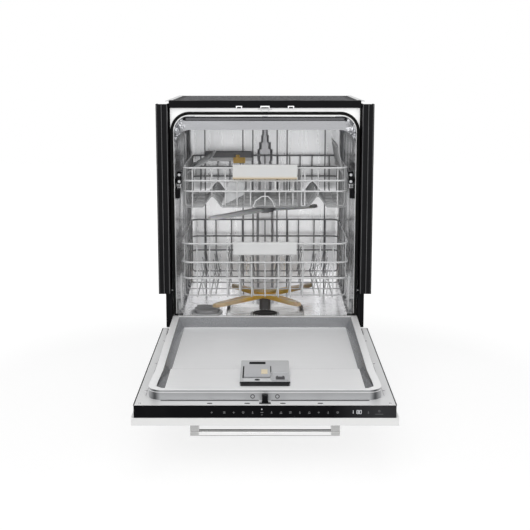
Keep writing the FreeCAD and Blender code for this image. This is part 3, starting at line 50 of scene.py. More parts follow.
# Door, in millimetres of the drawing, like the groups after it
free_edge = -669.0
rim_front = -635.0
rim_low = 25.0
rim_high = 40.0
rim_slope = (rim_high - rim_low) / -free_edge
rim_corner_inner = 242.0
rim_corner_outer = 257.0
pan_half_width = 250.0
pan_front = rim_front + 20.0
pan_floor = 8.0
pan_step = 11.0
pan_step_y = -442.0
flange_slot_y = -656.0
dispenser_front = -586.4
dispenser_face = 26.0
lid_top = 29.3
bar_post_start = 149.0

# Signs of the control strip
sign_row = -17.0
sign_rise = 0.04
sign_root = 0.05
first_sign = -91.0
sign_spacing = 21.1
middle_sign = -7.0

# Tub and casing
casing_half_width = 263.0
frame_top = 630.0
shaded_wall_top = 174.0
bright_wall_low = 294.0
plain_back_low = 534.0
tub_corner_low = 516.0
tub_ceiling = 566.0
tub_side = 226.0
bead_places = (39.0, 71.0, 193.0)
bead_half_width = 1.9
ceiling_step_y = 60.2
ceiling_band_low = 591.0
ceiling_band_top = 602.5
duct_pale_top = 354.0
duct_shaded_low = 474.0
felt_flat_start = 236.0
felt_flat_end = 250.0
beam_top = 649.0
arm_centre_y = 272.0

# Racks
wires_pale_before = 90.0
wires_dark_behind = 430.0
handle_amber_top = 430.0
handle_grey_low = 438.0
rail_stop_front = 61.0
basket_half_width = 231.0
basket_front = 62.3
basket_floor = 346.0
basket_top = 458.0
ridge_place = 150.0
ridge_half_width = 27.0
ridge_rise = 35.0
floor_wire_count = 19
first_floor_wire = 80.0
floor_wire_spacing = 21.0


def at(x, y, z):
    """A point of the frame, in metres, from a point of the drawing."""
    return Vector((x * millimetre, y * millimetre + front_plane, z * millimetre + door_plane))


def depth_at(y):
    """The frame's Y, in metres, of a length of the drawing."""
    return at(0.0, y, 0.0).y


def height_at(z):
    """The frame's Z, in metres, of a height of the drawing."""
    return at(0.0, 0.0, z).z


def rim_height(y):
    """The top of the liner's raised rim, which climbs towards the hinge."""
    return rim_low + (y - rim_front) * rim_slope


# Shader pieces
class Shading:
    """A shader tree, with short ways to add patterns and arithmetic to it."""

    def __init__(self, tree):
        self.tree = tree

    def feed(self, socket, value):
        """Link an input to another socket, or set it to a constant."""
        if isinstance(value, bpy.types.NodeSocket):
            self.tree.links.new(value, socket)
        elif socket.type == "RGBA":
            socket.default_value = (*value, 1.0)
        else:
            socket.default_value = value

    def add(self, kind, inputs):
        """A new node with its named inputs fed."""
        node = self.tree.nodes.new(kind)
        for label, value in inputs.items():
            self.feed(node.inputs[label], value)
        return node

    def calculate(self, operation, first, second=0.0):
        """One arithmetic step on sockets or numbers."""
        step = self.tree.nodes.new("ShaderNodeMath")
        step.operation = operation
        for socket, value in zip(step.inputs, (first, second)):
            self.feed(socket, value)
        return step.outputs[0]

    def product(self, *factors):
        """Sockets or numbers multiplied together."""
        total = factors[0]
        for factor in factors[1:]:
            total = self.calculate("MULTIPLY", total, factor)
        return total

    def mean(self, first, second):
        return self.product(self.calculate("ADD", first, second), 0.5)

    def between(self, factor, low, high, start=0.3, end=0.7):
        """A number that runs from low to high while the factor runs from start to end."""
        inputs = {"Value": factor, "From Min": start, "From Max": end, "To Min": low, "To Max": high}
        return self.add("ShaderNodeMapRange", inputs).outputs["Result"]

    def rise(self, value, start, end):
        """Nothing before the start, one after the end."""
        return self.between(value, 0.0, 1.0, start, end)

    def fall(self, value, start, end):
        """One before the start, nothing after the end."""
        return self.between(value, 1.0, 0.0, start, end)

    def window(self, value, low, high, soft):
        """One between low and high, falling off to nothing over a soft edge."""
        rise = self.rise(value, low - soft, low + soft)
        fall = self.fall(value, high - soft, high + soft)
        return self.product(rise, fall)

    def shade(self, factor, dark, pale, low=0.3, high=0.7):
        """A colour that runs from dark to pale while the factor runs from low to high."""
        ramp = self.add("ShaderNodeValToRGB", {"Fac": factor})
        for stop, place, colour in zip(ramp.color_ramp.elements, (low, high), (dark, pale)):
            stop.position = place
            stop.color = (*colour, 1.0)
        return ramp.outputs["Color"]

    def blend(self, factor, first, second):
        """The first shade where the factor is nothing, the second where it is one."""
        mix = self.tree.nodes.new("ShaderNodeMix")
        mix.data_type = "RGBA"
        self.feed(mix.inputs["Factor"], factor)
        colour_sockets = [socket for socket in mix.inputs if socket.type == "RGBA"]
        for socket, shade in zip(colour_sockets, (first, second)):
            self.feed(socket, shade)
        return next(socket for socket in mix.outputs if socket.type == "RGBA")

    def mix_into(self, output, factor, first, second):
        """Send a mix of two shaders to the tree's output."""
        mix = self.add("ShaderNodeMixShader", {"Fac": factor})
        self.feed(mix.inputs[1], first)
        self.feed(mix.inputs[2], second)
        self.feed(self.tree.nodes[output].inputs["Surface"], mix.outputs["Shader"])


class Finish(Shading):
    """A material, with the piece's coordinates, which at rest are the frame's, to hang patterns on."""

    def __init__(self, name):
        self.material = bpy.data.materials.new(name)
        self.material.use_nodes = True
        super().__init__(self.material.node_tree)
        self.shader = self.tree.nodes["Principled BSDF"]
        self.coords = self.tree.nodes.new("ShaderNodeTexCoord").outputs["Object"]

    def noise(self, scale, detail, stretch=(1.0, 1.0, 1.0)):
        """Noise that is drawn out along the axes with a small stretch."""
        place = self.add("ShaderNodeMapping", {"Vector": self.coords, "Scale": stretch})
        inputs = {"Vector": place.outputs["Vector"], "Scale": scale, "Detail": detail}
        return self.add("ShaderNodeTexNoise", inputs).outputs["Fac"]

    def place(self, axis):
        """The coordinate along X, Y or Z, in metres of the frame."""
        return self.add("ShaderNodeSeparateXYZ", {"Vector": self.coords}).outputs[axis]

    def across(self):
        """How far a point is from the middle plane of the machine."""
        return self.calculate("ABSOLUTE", self.place("X"))

    def set(self, label, value):
        """Feed one input of the main shader."""
        self.feed(self.shader.inputs[label], value)

    def surface(self, colour, roughness, metallic=0.0, gloss=0.5):
        """Feed the inputs of the main shader that every finish needs."""
        self.set("Base Color", colour)
        self.set("Roughness", roughness)
        self.set("Metallic", metallic)
        self.set("Specular IOR Level", gloss)

    def relief(self, height, strength, distance):
        """Small relief from a pattern."""
        bump = self.add("ShaderNodeBump", {"Height": height, "Strength": strength, "Distance": distance})
        self.set("Normal", bump.outputs["Normal"])
        return bump


def scaled(colour, factor):
    return tuple(min(1.0, channel * factor) for channel in colour)


# Finishes
across_grain = (0.03, 1.0, 1.0)
lengthwise_grain = (1.0, 0.03, 1.0)
upright_grain = (1.0, 1.0, 0.03)
fold_start = 0.0003
fold_end = 0.0010


def rolled_steel(name, colour, roughness, grain):
    """Sheet steel with fine rolling lines along one axis and slow, broad shading."""
    steel = Finish(name)
    lines = steel.noise(160.0, 6.0, grain)
    clouds = steel.noise(5.0, 2.0)
    shade = steel.shade(steel.mean(lines, clouds), scaled(colour, 0.95), scaled(colour, 1.05))
    steel.surface(shade, steel.between(lines, roughness * 0.85, roughness * 1.15), metallic=1.0)
    steel.relief(lines, 0.03, 0.0002)
    return steel.material


def polished_tub_sheet():
    """The deep-drawn side walls: bright sheet with upright waves, streaks of painted reflection and painted
    shade low down, creased in its top corners, with painted shade there and under the ceiling.
    """
    steel = Finish("polished_tub_sheet")
    waves = steel.noise(16.0, 4.0, (0.05, 1.0, 0.16))
    streaks = steel.noise(14.0, 3.0, (0.05, 1.0, 0.08))
    dents = steel.noise(60.0, 2.0, (1.0, 0.5, 1.0))
    height = steel.place("Z")
    # Painted shade: the walls are darker below the shaded wall top.
    low_down = steel.fall(height, height_at(shaded_wall_top), height_at(bright_wall_low))
    in_corner = steel.rise(height, height_at(tub_corner_low), height_at(tub_corner_low + 20.0))
    near_ceiling = steel.rise(height, height_at(tub_ceiling - 4.0), height_at(tub_ceiling))
    # The streaks are painted reflection: dark and bright bands in the steel's colour.
    high_wall = steel.shade(streaks, (0.16, 0.165, 0.175), (0.95, 0.955, 0.96), low=0.40, high=0.62)
    low_wall = steel.shade(streaks, (0.04, 0.042, 0.046), (0.62, 0.625, 0.63), low=0.42, high=0.62)
    wall = steel.blend(low_down, high_wall, low_wall)
    # Painted shade in the top corners and under the ceiling.
    side = steel.blend(in_corner, wall, (0.26, 0.263, 0.275))
    shade = steel.blend(near_ceiling, side, (0.42, 0.425, 0.44))
    steel.surface(shade, steel.between(streaks, 0.08, 0.20), metallic=1.0)
    side_start = (tub_side - 4.0) * millimetre
    side_end = (tub_side + 4.0) * millimetre
    on_side = steel.between(steel.across(), 0.0, 0.9, side_start, side_end)
    creases = steel.product(dents, on_side, in_corner)
    steel.relief(steel.calculate("ADD", waves, creases), 1.0, 0.010)
    return steel.material


def pressed_back_sheet():
    """The bright back wall, brighter low down with painted light, and with painted shade in the folds of its
    upright beads.
    """
    steel = Finish("pressed_back_sheet")
    lines = steel.noise(160.0, 5.0, upright_grain)
    plain = steel.shade(lines, (0.78, 0.785, 0.80), (0.83, 0.835, 0.845))
    # Painted light: brighter low down.
    low_down = steel.fall(steel.place("Z"), height_at(bright_wall_low), height_at(plain_back_low))
    shade = steel.blend(low_down, plain, (0.99, 0.99, 1.0))
    across = steel.across()
    half = bead_half_width * millimetre
    # Painted shade in the folds of the beads.
    for bead in bead_places:
        place = bead * millimetre
        fold = steel.window(across, place - half, place + half, half * 0.4)
        shade = steel.blend(fold, shade, (0.12, 0.12, 0.125))
    steel.surface(shade, steel.between(lines, 0.26, 0.32), metallic=1.0)
    steel.relief(lines, 0.006, 0.0001)
    return steel.material


def liner_sheet():
    """The door liner: bead-blasted on its flats, and polished where the walls of rim and pan were drawn.
    Painted light makes the flats inside the rim lighter than the flange; painted shade darkens the walls,
    most at the rim's corners.
    """
    steel = Finish("door_liner_sheet")
    lines = steel.noise(220.0, 5.0, across_grain)
    clouds = steel.noise(4.0, 2.0)
    along = steel.place("Y")
    height = steel.place("Z")
    across = steel.across()
    rim_at_origin = height_at(rim_height(-front_plane / millimetre))
    rim_line = steel.calculate("ADD", steel.product(along, rim_slope), rim_at_origin)
    below_rim = steel.rise(steel.calculate("SUBTRACT", rim_line, height), fold_start, 0.0012)
    above_flange = steel.rise(height, door_plane + fold_start, door_plane + fold_end)
    high_floor = height_at(pan_floor + pan_step)
    floor_line = steel.between(along, high_floor, height_at(pan_floor),
                               depth_at(pan_step_y - 0.5), depth_at(pan_step_y + 0.5))
    from_floor = steel.calculate("ABSOLUTE", steel.calculate("SUBTRACT", height, floor_line))
    off_floor = steel.rise(from_floor, fold_start, fold_end)
    on_wall = steel.product(below_rim, above_flange, off_floor)
    within = steel.fall(across, pan_half_width * millimetre, (pan_half_width + 4.0) * millimetre)
    behind_front = steel.rise(along, depth_at(pan_front - 2.0), depth_at(pan_front + 2.0))
    in_pan = steel.product(within, behind_front)
    # Painted light: the raised flats are lighter than the flange.
    raised_flat = steel.shade(steel.mean(lines, clouds), (0.89, 0.893, 0.90), (0.95, 0.95, 0.955))
    flat = steel.blend(above_flange, (0.72, 0.722, 0.726), raised_flat)
    # Painted shade: dark walls, darkest at the rim's corners.
    near_corner = steel.window(across, rim_corner_inner * millimetre, rim_corner_outer * millimetre, 0.006)
    outer_wall = steel.blend(near_corner, (0.44, 0.445, 0.455), (0.10, 0.102, 0.107))
    wall = steel.blend(in_pan, outer_wall, (0.25, 0.255, 0.265))
    satin = steel.between(lines, 0.42, 0.48)
    polish = steel.product(on_wall, steel.between(in_pan, 0.06, 0.22, start=0.0, end=1.0))
    steel.surface(steel.blend(on_wall, flat, wall), steel.calculate("SUBTRACT", satin, polish),
                  metallic=steel.between(on_wall, 0.30, 1.0, start=0.0, end=1.0))
    bump = steel.relief(lines, 0.02, 0.0002)
    eased_edges = steel.add("ShaderNodeBevel", {"Radius": 0.0008})
    eased_edges.samples = 6
    steel.feed(bump.inputs["Normal"], eased_edges.outputs["Normal"])
    return steel.material


def sparked_grain(plastic, roughness, grain=900.0, strength=0.1):
    """The fine grain of a sparked mould: adds its relief and gives its roughness."""
    spark = plastic.noise(grain, 2.0)
    plastic.relief(spark, strength, 0.0003)
    return plastic.between(spark, roughness * 0.85, roughness * 1.2)


def moulded_plastic(name, colour, roughness, gloss=0.5, grain=900.0, contrast=0.08, strength=0.12):
    """Injection-moulded plastic: faint flow shading and a fine sparked grain."""
    plastic = Finish(name)
    flow = plastic.noise(9.0, 3.0, (1.0, 1.0, 2.0))
    shade = plastic.shade(flow, scaled(colour, 1 - contrast), scaled(colour, 1 + contrast))
    plastic.surface(shade, sparked_grain(plastic, roughness, grain, strength), gloss=gloss)
    return plastic.material


def two_tone_plastic(name, first, second, axis, start, end, roughness, gloss=0.5, pearl=0.0):
    """Moulded plastic whose shade changes along an axis, with a metallic pearl or none."""
    plastic = Finish(name)
    flow = plastic.noise(12.0, 3.0)
    place = plastic.rise(plastic.place(axis), start, end)
    wander = plastic.calculate("ADD", place, plastic.between(flow, -0.06, 0.06))
    shade = plastic.blend(wander, first, second)
    plastic.surface(shade, sparked_grain(plastic, roughness), metallic=pearl, gloss=gloss)
    return plastic.material


def spray_arm_resin(name, hub_shade, tip_shade, start, end):
    """Translucent resin, of one shade round the hub and another towards the tips."""
    resin = Finish(name)
    flow = resin.noise(16.0, 3.0, (1.0, 1.0, 2.0))
    x = resin.place("X")
    y = resin.calculate("SUBTRACT", resin.place("Y"), depth_at(arm_centre_y))
    square = resin.calculate("ADD", resin.product(x, x), resin.product(y, y))
    reach = resin.rise(resin.calculate("SQRT", square), start, end)
    wander = resin.calculate("ADD", reach, resin.between(flow, -0.12, 0.12))
    resin.surface(resin.blend(wander, hub_shade, tip_shade), resin.between(flow, 0.26, 0.40))
    resin.set("Subsurface Weight", 0.2)
    resin.set("Subsurface Radius", (0.006, 0.003, 0.001))
    return resin.material


def clear_plastic(name, colour, opacity):
    """Frosted clear plastic, thin enough to show what is behind it."""
    plastic = Finish(name)
    frost = plastic.noise(40.0, 3.0)
    plastic.surface(plastic.shade(frost, scaled(colour, 0.94), colour), plastic.between(frost, 0.22, 0.34))
    plastic.set("Alpha", plastic.between(frost, opacity - 0.06, opacity + 0.06))
    return plastic.material


def spangled_zinc(name, colour):
    """Zinc-coated sheet with its crystal spangle."""
    zinc = Finish(name)
    cells = zinc.add("ShaderNodeTexVoronoi", {"Vector": zinc.coords, "Scale": 150.0})
    tone = zinc.add("ShaderNodeSeparateColor", {"Color": cells.outputs["Color"]})
    shade = zinc.shade(tone.outputs["Red"], scaled(colour, 0.95), scaled(colour, 1.03))
    zinc.surface(shade, zinc.between(tone.outputs["Green"], 0.38, 0.55), metallic=0.9)
    return zinc.material


def pressed_felt(name, colour):
    """Dark needle felt with short crossing fibres, pressed flat along its sides."""
    felt = Finish(name)
    along = felt.noise(220.0, 5.0, (1.0, 0.12, 1.0))
    across = felt.noise(220.0, 5.0, (0.12, 1.0, 1.0))
    patches = felt.noise(90.0, 4.0, (1.0, 0.4, 1.0))
    fibres = felt.calculate("MAXIMUM", along, across)
    mottle = felt.calculate("ADD", felt.product(fibres, 0.3), felt.product(patches, 0.7))
    shade = felt.shade(mottle, scaled(colour, 0.30), scaled(colour, 2.8), low=0.38, high=0.64)
    pressed_edge = felt.rise(felt.across(), felt_flat_start * millimetre, felt_flat_end * millimetre)
    felt.surface(felt.blend(pressed_edge, shade, scaled(colour, 0.2)), 0.95)
    felt.relief(fibres, 0.7, 0.002)
    return felt.material


def lacquered_board(name, colour):
    """White satin lacquer with a very slight orange peel."""
    lacquer = Finish(name)
    peel = lacquer.noise(260.0, 2.0)
    clouds = lacquer.noise(3.0, 2.0)
    lacquer.surface(lacquer.shade(clouds, scaled(colour, 0.985), colour), lacquer.between(peel, 0.28, 0.36))
    lacquer.relief(peel, 0.04, 0.0003)
    return lacquer.material


def bar_handle_steel():
    """A bright bar with painted shade along its back edge and its foot, between darker posts."""
    bar_low, bar_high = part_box("bar_handle")
    bottom = bar_low[2]
    post_start = bar_post_start * millimetre
    steel = Finish("bar_handle_steel")
    lines = steel.noise(160.0, 5.0, across_grain)
    height = steel.place("Z")
    off_middle = steel.calculate("SUBTRACT", steel.place("Y"), (bar_low[1] + bar_high[1]) / 2)
    behind = steel.rise(off_middle, -0.001, 0.001)
    at_edge = steel.rise(steel.calculate("ABSOLUTE", off_middle), 0.0080, 0.0088)
    on_top = steel.rise(height, bottom + 0.0086, bottom + 0.0094)
    low_part = steel.fall(height, bottom + 0.0016, bottom + 0.0026)
    on_post = steel.rise(steel.across(), post_start, post_start + 0.003)
    bright = steel.shade(lines, (0.90, 0.90, 0.90), (0.96, 0.96, 0.955))
    # Painted shade along the back of the top and along the foot.
    shaded_top = steel.blend(steel.product(behind, on_top), bright, (0.07, 0.07, 0.07))
    bar = steel.blend(steel.product(low_part, at_edge), shaded_top, (0.40, 0.40, 0.40))
    shade = steel.blend(on_post, bar, (0.52, 0.52, 0.515))
    steel.surface(shade, steel.between(lines, 0.24, 0.32), metallic=1.0)
    steel.relief(lines, 0.03, 0.0002)
    return steel.material


def beam_paint():
    """Black painted beam whose upper face carries the front edge of the felt."""
    paint = Finish("beam_paint")
    fibres = paint.noise(220.0, 5.0, (0.12, 1.0, 1.0))
    patches = paint.noise(30.0, 3.0)
    felt = paint.shade(paint.mean(fibres, patches), (0.012, 0.012, 0.013), (0.16, 0.16, 0.165))
    on_top = paint.rise(paint.place("Z"), height_at(beam_top - 0.8), height_at(beam_top - 0.3))
    shade = paint.blend(on_top, (0.007, 0.007, 0.008), felt)
    paint.surface(shade, paint.between(on_top, 0.55, 0.95, start=0.0, end=1.0), gloss=0.06)
    paint.relief(fibres, 0.4, 0.0008)
    return paint.material


def lit_mark(name, colour, strength):
    """A lit sign on the control strip, or a printed one that is given a faint glow of painted light."""
    mark = Finish(name)
    shade = mark.shade(mark.noise(300.0, 1.0), scaled(colour, 0.9), colour)
    mark.surface(shade, 0.4)
    mark.set("Emission Color", shade)
    mark.set("Emission Strength", strength)
    return mark.material


tub_steel = polished_tub_sheet()
back_steel = pressed_back_sheet()
floor_steel = rolled_steel("tub_floor_steel", (0.84, 0.84, 0.85), 0.26, across_grain)
liner_steel = liner_sheet()
frame_steel = rolled_steel("face_frame_steel", (0.86, 0.86, 0.86), 0.38, across_grain)
handle_steel = bar_handle_steel()
# Painted shade: dark steel for the pan's side walls.
pan_wall_steel = rolled_steel("pan_wall_steel", (0.22, 0.225, 0.235), 0.2, lengthwise_grain)
groove_steel = rolled_steel("flange_groove_steel", (0.34, 0.34, 0.345), 0.4, lengthwise_grain)
# Painted reflection and painted highlight: the dark ceiling band and the bright lip above it.
band_steel = rolled_steel("ceiling_band_steel", (0.13, 0.13, 0.137), 0.2, across_grain)
lip_steel = rolled_steel("ceiling_lip_steel", (0.92, 0.92, 0.92), 0.3, across_grain)
rail_steel = rolled_steel("slide_rail_steel", (0.62, 0.62, 0.63), 0.24, lengthwise_grain)
plain_steel = rolled_steel("plain_steel", (0.62, 0.62, 0.62), 0.3, across_grain)
screw_steel = rolled_steel("screw_steel", (0.42, 0.42, 0.43), 0.25, across_grain)
zinc_sheet = spangled_zinc("zinc_sheet", (0.66, 0.67, 0.68))
satin_black = moulded_plastic("satin_black", (0.008, 0.008, 0.009), 0.34, gloss=0.08)
matt_black = moulded_plastic("matt_black", (0.007, 0.007, 0.008), 0.6, gloss=0.06)
shell_black = moulded_plastic("door_shell_paint", (0.030, 0.030, 0.032), 0.45, gloss=0.25)
seal_rubber = moulded_plastic("seal_rubber", (0.008, 0.008, 0.008), 0.55, gloss=0.08, grain=500.0)
beam_black = beam_paint()
# Painted reflection: the control glass turns lighter towards its right end.
control_glass = two_tone_plastic("control_glass", (0.005, 0.005, 0.006), (0.036, 0.036, 0.038),
                                 "X", 0.150, 0.250, 0.12, gloss=0.08)
dark_plastic = moulded_plastic("dark_plastic", (0.06, 0.06, 0.063), 0.45, gloss=0.3)
salt_plastic = moulded_plastic("salt_cap_plastic", (0.44, 0.44, 0.45), 0.38, gloss=0.4)
# Painted shade: the duct is darker towards its top.
duct_plastic = two_tone_plastic("duct_plastic", (0.97, 0.97, 0.98), (0.66, 0.66, 0.68),
                                "Z", height_at(duct_pale_top), height_at(duct_shaded_low), 0.42, pearl=0.85)
feed_plastic = moulded_plastic("arm_feed_plastic", (0.52, 0.525, 0.53), 0.4)
arm_plastic = spray_arm_resin("upper_arm_plastic", (0.20, 0.20, 0.205), (0.66, 0.665, 0.67), 0.026, 0.036)
dispenser_plastic = two_tone_plastic("dispenser_plastic", (0.014, 0.014, 0.015), (0.56, 0.565, 0.575),
                                     "Y", depth_at(dispenser_front), depth_at(dispenser_front + 2.9),
                                     0.42, gloss=0.2)
lid_plastic = moulded_plastic("dispenser_lid_plastic", (0.50, 0.505, 0.52), 0.36)
pale_plastic = moulded_plastic("pale_plastic", (0.66, 0.67, 0.68), 0.36)
shelf_plastic = moulded_plastic("cup_shelf_plastic", (0.56, 0.565, 0.57), 0.32)
knife_tray_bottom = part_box("knife_rack")[0][2]
# Painted light and shade: the tray's lower edge is painted pale, the part above it painted dark.
knife_plastic = two_tone_plastic("knife_tray_plastic", (0.95, 0.95, 0.96), (0.24, 0.24, 0.25),
                                 "Z", knife_tray_bottom + 0.010, knife_tray_bottom + 0.012, 0.36)
# Painted shade: the left cup shelf is a darker copy of the cup shelf plastic.
shaded_left_shelf_plastic = moulded_plastic("shaded_left_shelf_plastic", (0.38, 0.385, 0.39), 0.32)
holder_plastic = moulded_plastic("stem_holder_plastic", (0.22, 0.22, 0.225), 0.4)
# Painted shade: the basket's floor wires are a darker copy of the wire coat.
shaded_mesh_coat = moulded_plastic("floor_wire_coat_painted_shade", (0.46, 0.465, 0.47), 0.3, grain=400.0, contrast=0.05,
                            strength=0.05)
# Painted highlight: the trim ribs are a lighter copy of the trims' black plastic.
trim_edge = moulded_plastic("trim_edge_plastic", (0.11, 0.11, 0.113), 0.4, gloss=0.4)
upper_handle_plastic = two_tone_plastic("upper_handle_plastic", (0.70, 0.55, 0.34), (0.72, 0.725, 0.72),
                                        "Z", height_at(handle_amber_top), height_at(handle_grey_low), 0.34)
lower_handle_plastic = moulded_plastic("lower_handle_plastic", (0.74, 0.745, 0.745), 0.34)
white_plastic = moulded_plastic("white_plastic", (0.84, 0.84, 0.83), 0.34)
# Painted shade: the wires darken towards the back.
wire_coat = two_tone_plastic("nylon_wire_coat", (0.72, 0.725, 0.73), (0.34, 0.343, 0.35),
                             "Y", depth_at(wires_pale_before), depth_at(wires_dark_behind), 0.26)
amber_plastic = spray_arm_resin("lower_arm_resin", (0.86, 0.54, 0.12), (0.78, 0.60, 0.38), 0.085, 0.140)
clip_amber = moulded_plastic("amber_clip_plastic", (1.0, 0.62, 0.16), 0.3)
cream_plastic = moulded_plastic("cream_button_plastic", (0.80, 0.70, 0.50), 0.36)
frosted_plastic = clear_plastic("frosted_support_plastic", (0.78, 0.79, 0.80), 0.62)
top_felt = pressed_felt("top_felt_fibre", (0.045, 0.045, 0.048))
board_lacquer = lacquered_board("board_lacquer", (0.90, 0.90, 0.895))
sign_white = lit_mark("lit_sign", (0.80, 0.81, 0.84), 0.45)
# Painted light: the printed and faint signs glow faintly, though they are not lit.
sign_grey = lit_mark("printed_sign", (0.17, 0.17, 0.175), 0.06)
sign_faint = lit_mark("faint_sign", (0.13, 0.13, 0.135), 0.04)

finished_nodes = (
    (tub_steel, "tub_shell"),
    (back_steel, "tub_back"),
    (floor_steel, "tub_floor"),
    (frame_steel, "face_frame"),
    (seal_rubber, "door_gasket", "sill_seal"),
    (plain_steel, "latch_striker", "hinge_pins", "filter_plate"),
    (zinc_sheet, "right_side_panel", "left_side_panel", "rear_panel"),
    (beam_black, "top_crossbar"),
    (top_felt, "top_felt"),
    (satin_black, "right_gap_trim", "left_gap_trim", "toe_panel"),
    (dark_plastic, "base_tray", "front_left_foot", "front_right_foot", "rear_left_foot", "rear_right_foot",
     "filter_cup", "circulation_pump", "drain_pump", "drain_spigot"),
    (shell_black, "hinge_brackets", "door_shell"),
    (liner_steel, "door_liner"),
    (control_glass, "control_panel"),
    (board_lacquer, "furniture_panel"),
    (handle_steel, "bar_handle"),
    (matt_black, "door_latch", "roller_brackets"),
    (dispenser_plastic, "dispenser_body"),
    (lid_plastic, "dispenser_lid", "rinse_cap"),
    (holder_plastic, "sump"),
    (pale_plastic, "softener", "front_guide_rollers", "rear_guide_rollers", "front_wheels", "rear_wheels"),
    (salt_plastic, "salt_cap"),
    (white_plastic, "inlet_valve"),
    (duct_plastic, "water_duct"),
    (amber_plastic, "lower_spray_arm"),
    (arm_plastic, "upper_spray_arm"),
    (feed_plastic, "upper_arm_feed"),
    (wire_coat, "upper_basket", "lower_basket", "left_folding_tines", "right_folding_tines"),
    (upper_handle_plastic, "upper_handle"),
    (rail_steel, "slide_rails"),
    (shelf_plastic, "rack_adjusters", "right_cup_shelf"),
    (shaded_left_shelf_plastic, "left_cup_shelf"),
    (knife_plastic, "knife_rack"),
    (lower_handle_plastic, "lower_handle"),
)
for finish, *names in finished_nodes:
    for name in names:
        node_materials = nodes[name].data.materials
        node_materials.clear()
        node_materials.append(finish)

# Mesh making, with corners, profiles and bevels in millimetres
up = Vector((0.0, 0.0, 1.0))
forward = Vector((0.0, -1.0, 0.0))


def add_block(mesh, low_corner, high_corner, bevel=0.0):
    """A block between two corners, with its edges eased."""
    low, high = at(*low_corner), at(*high_corner)
    fit = Matrix.Translation((low + high) / 2) @ Matrix.Diagonal((*(high - low), 1.0))
    made = bmesh.ops.create_cube(mesh, size=1.0, matrix=fit)
    if bevel:
        edges = dict.fromkeys(edge for vert in made["verts"] for edge in vert.link_edges)
        bmesh.ops.bevel(mesh, geom=list(edges), offset=bevel * millimetre, segments=2, profile=0.5,
                        affect="EDGES")


def add_lathe(mesh, profile, centre, axis, steps):
    """A turned piece: (radius, height) points swept round an axis."""
    placed = Matrix.Translation(centre) @ axis.to_track_quat("Z", "Y").to_matrix().to_4x4()
    points = [Vector((radius, 0.0, height)) * millimetre for radius, height in profile]
    verts = [mesh.verts.new(placed @ point) for point in points]
    edges = [mesh.edges.new(pair) for pair in zip(verts, verts[1:])]
    bmesh.ops.spin(mesh, geom=verts + edges, cent=centre, axis=axis, angle=math.tau, steps=steps,
                   use_merge=True, use_duplicate=False)


def add_plate(mesh, outline, direction, thickness):
    """A plate on an outline of points of the frame, thickened along a direction."""
    face = mesh.faces.new([mesh.verts.new(point) for point in outline])
    made = bmesh.ops.extrude_face_region(mesh, geom=[face])
    moved = [item for item in made["geom"] if isinstance(item, bmesh.types.BMVert)]
    bmesh.ops.translate(mesh, vec=direction * thickness * millimetre, verts=moved)


def closed_mesh(mesh, name):
    """The drawn mesh with doubles merged and its faces turned outwards."""
    bmesh.ops.remove_doubles(mesh, verts=mesh.verts, dist=1e-6)
    bmesh.ops.recalc_face_normals(mesh, faces=mesh.faces)
    data = bpy.data.meshes.new(name)
    mesh.to_mesh(data)
    mesh.free()
    return data


def add_piece(name, data, finish, body):
    """A finished piece in the shared frame, on the body that carries it."""
    data.materials.clear()
    data.materials.append(finish)
    piece = bpy.data.objects.new(name, data)
    bpy.context.collection.objects.link(piece)
    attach(piece, body)


def add_drawn(name, mesh, finish, body, slot):
    """A piece from a mesh that is drawn to its end."""
    add_piece(name, closed_mesh(mesh, name), finish, body)


def add_blocks(name, blocks, finish, body, slot):
    """A piece of blocks, each with two corners and, if its edges are eased, their bevel."""
    mesh = bmesh.new()
    for block in blocks:
        add_block(mesh, *block)
    add_drawn(name, mesh, finish, body, slot)


def both_sides(low, high, bevel=0.0):
    """A block on the right of the middle plane, and its mirror image."""
    mirror_low = (-high[0], low[1], low[2])
    mirror_high = (-low[0], high[1], high[2])
    return [(mirror_low, mirror_high, bevel), (low, high, bevel)]


# Geometry Nodes for what repeats
def new_tree(name, inputs):
    """A node tree with named inputs and one geometry output."""
    tree = bpy.data.node_groups.new(name, "GeometryNodeTree")
    tree.interface.new_socket("Geometry", in_out="INPUT", socket_type="NodeSocketGeometry")
    for label, kind in inputs.items():
        tree.interface.new_socket(label, in_out="INPUT", socket_type=kind)
    tree.interface.new_socket("Geometry", in_out="OUTPUT", socket_type="NodeSocketGeometry")
    start = tree.nodes.new("NodeGroupInput")
    end = tree.nodes.new("NodeGroupOutput")
    return tree, start, end


def chain(tree, *steps):
    """Link each node's first output to the next one's first input."""
    for before, after in zip(steps, steps[1:]):
        tree.links.new(before.outputs[0], after.inputs[0])


def finish_tree(tree, start, end, last):
    """Realize what the last node made and give it its finish."""
    real = tree.nodes.new("GeometryNodeRealizeInstances")
    coat = tree.nodes.new("GeometryNodeSetMaterial")
    tree.links.new(start.outputs["Finish"], coat.inputs["Material"])
    chain(tree, last, real, coat, end)


def copies_tree():
    """One pattern piece set on every point of a mesh."""
    inputs = {"Pattern": "NodeSocketObject", "Finish": "NodeSocketMaterial"}
    tree, start, end = new_tree("pattern_on_points", inputs)
    points = tree.nodes.new("GeometryNodeMeshToPoints")
    pattern = tree.nodes.new("GeometryNodeObjectInfo")
    copies = tree.nodes.new("GeometryNodeInstanceOnPoints")
    tree.links.new(start.outputs["Pattern"], pattern.inputs["Object"])
    tree.links.new(pattern.outputs["Geometry"], copies.inputs["Instance"])
    chain(tree, start, points, copies)
    finish_tree(tree, start, end, copies)
    return tree


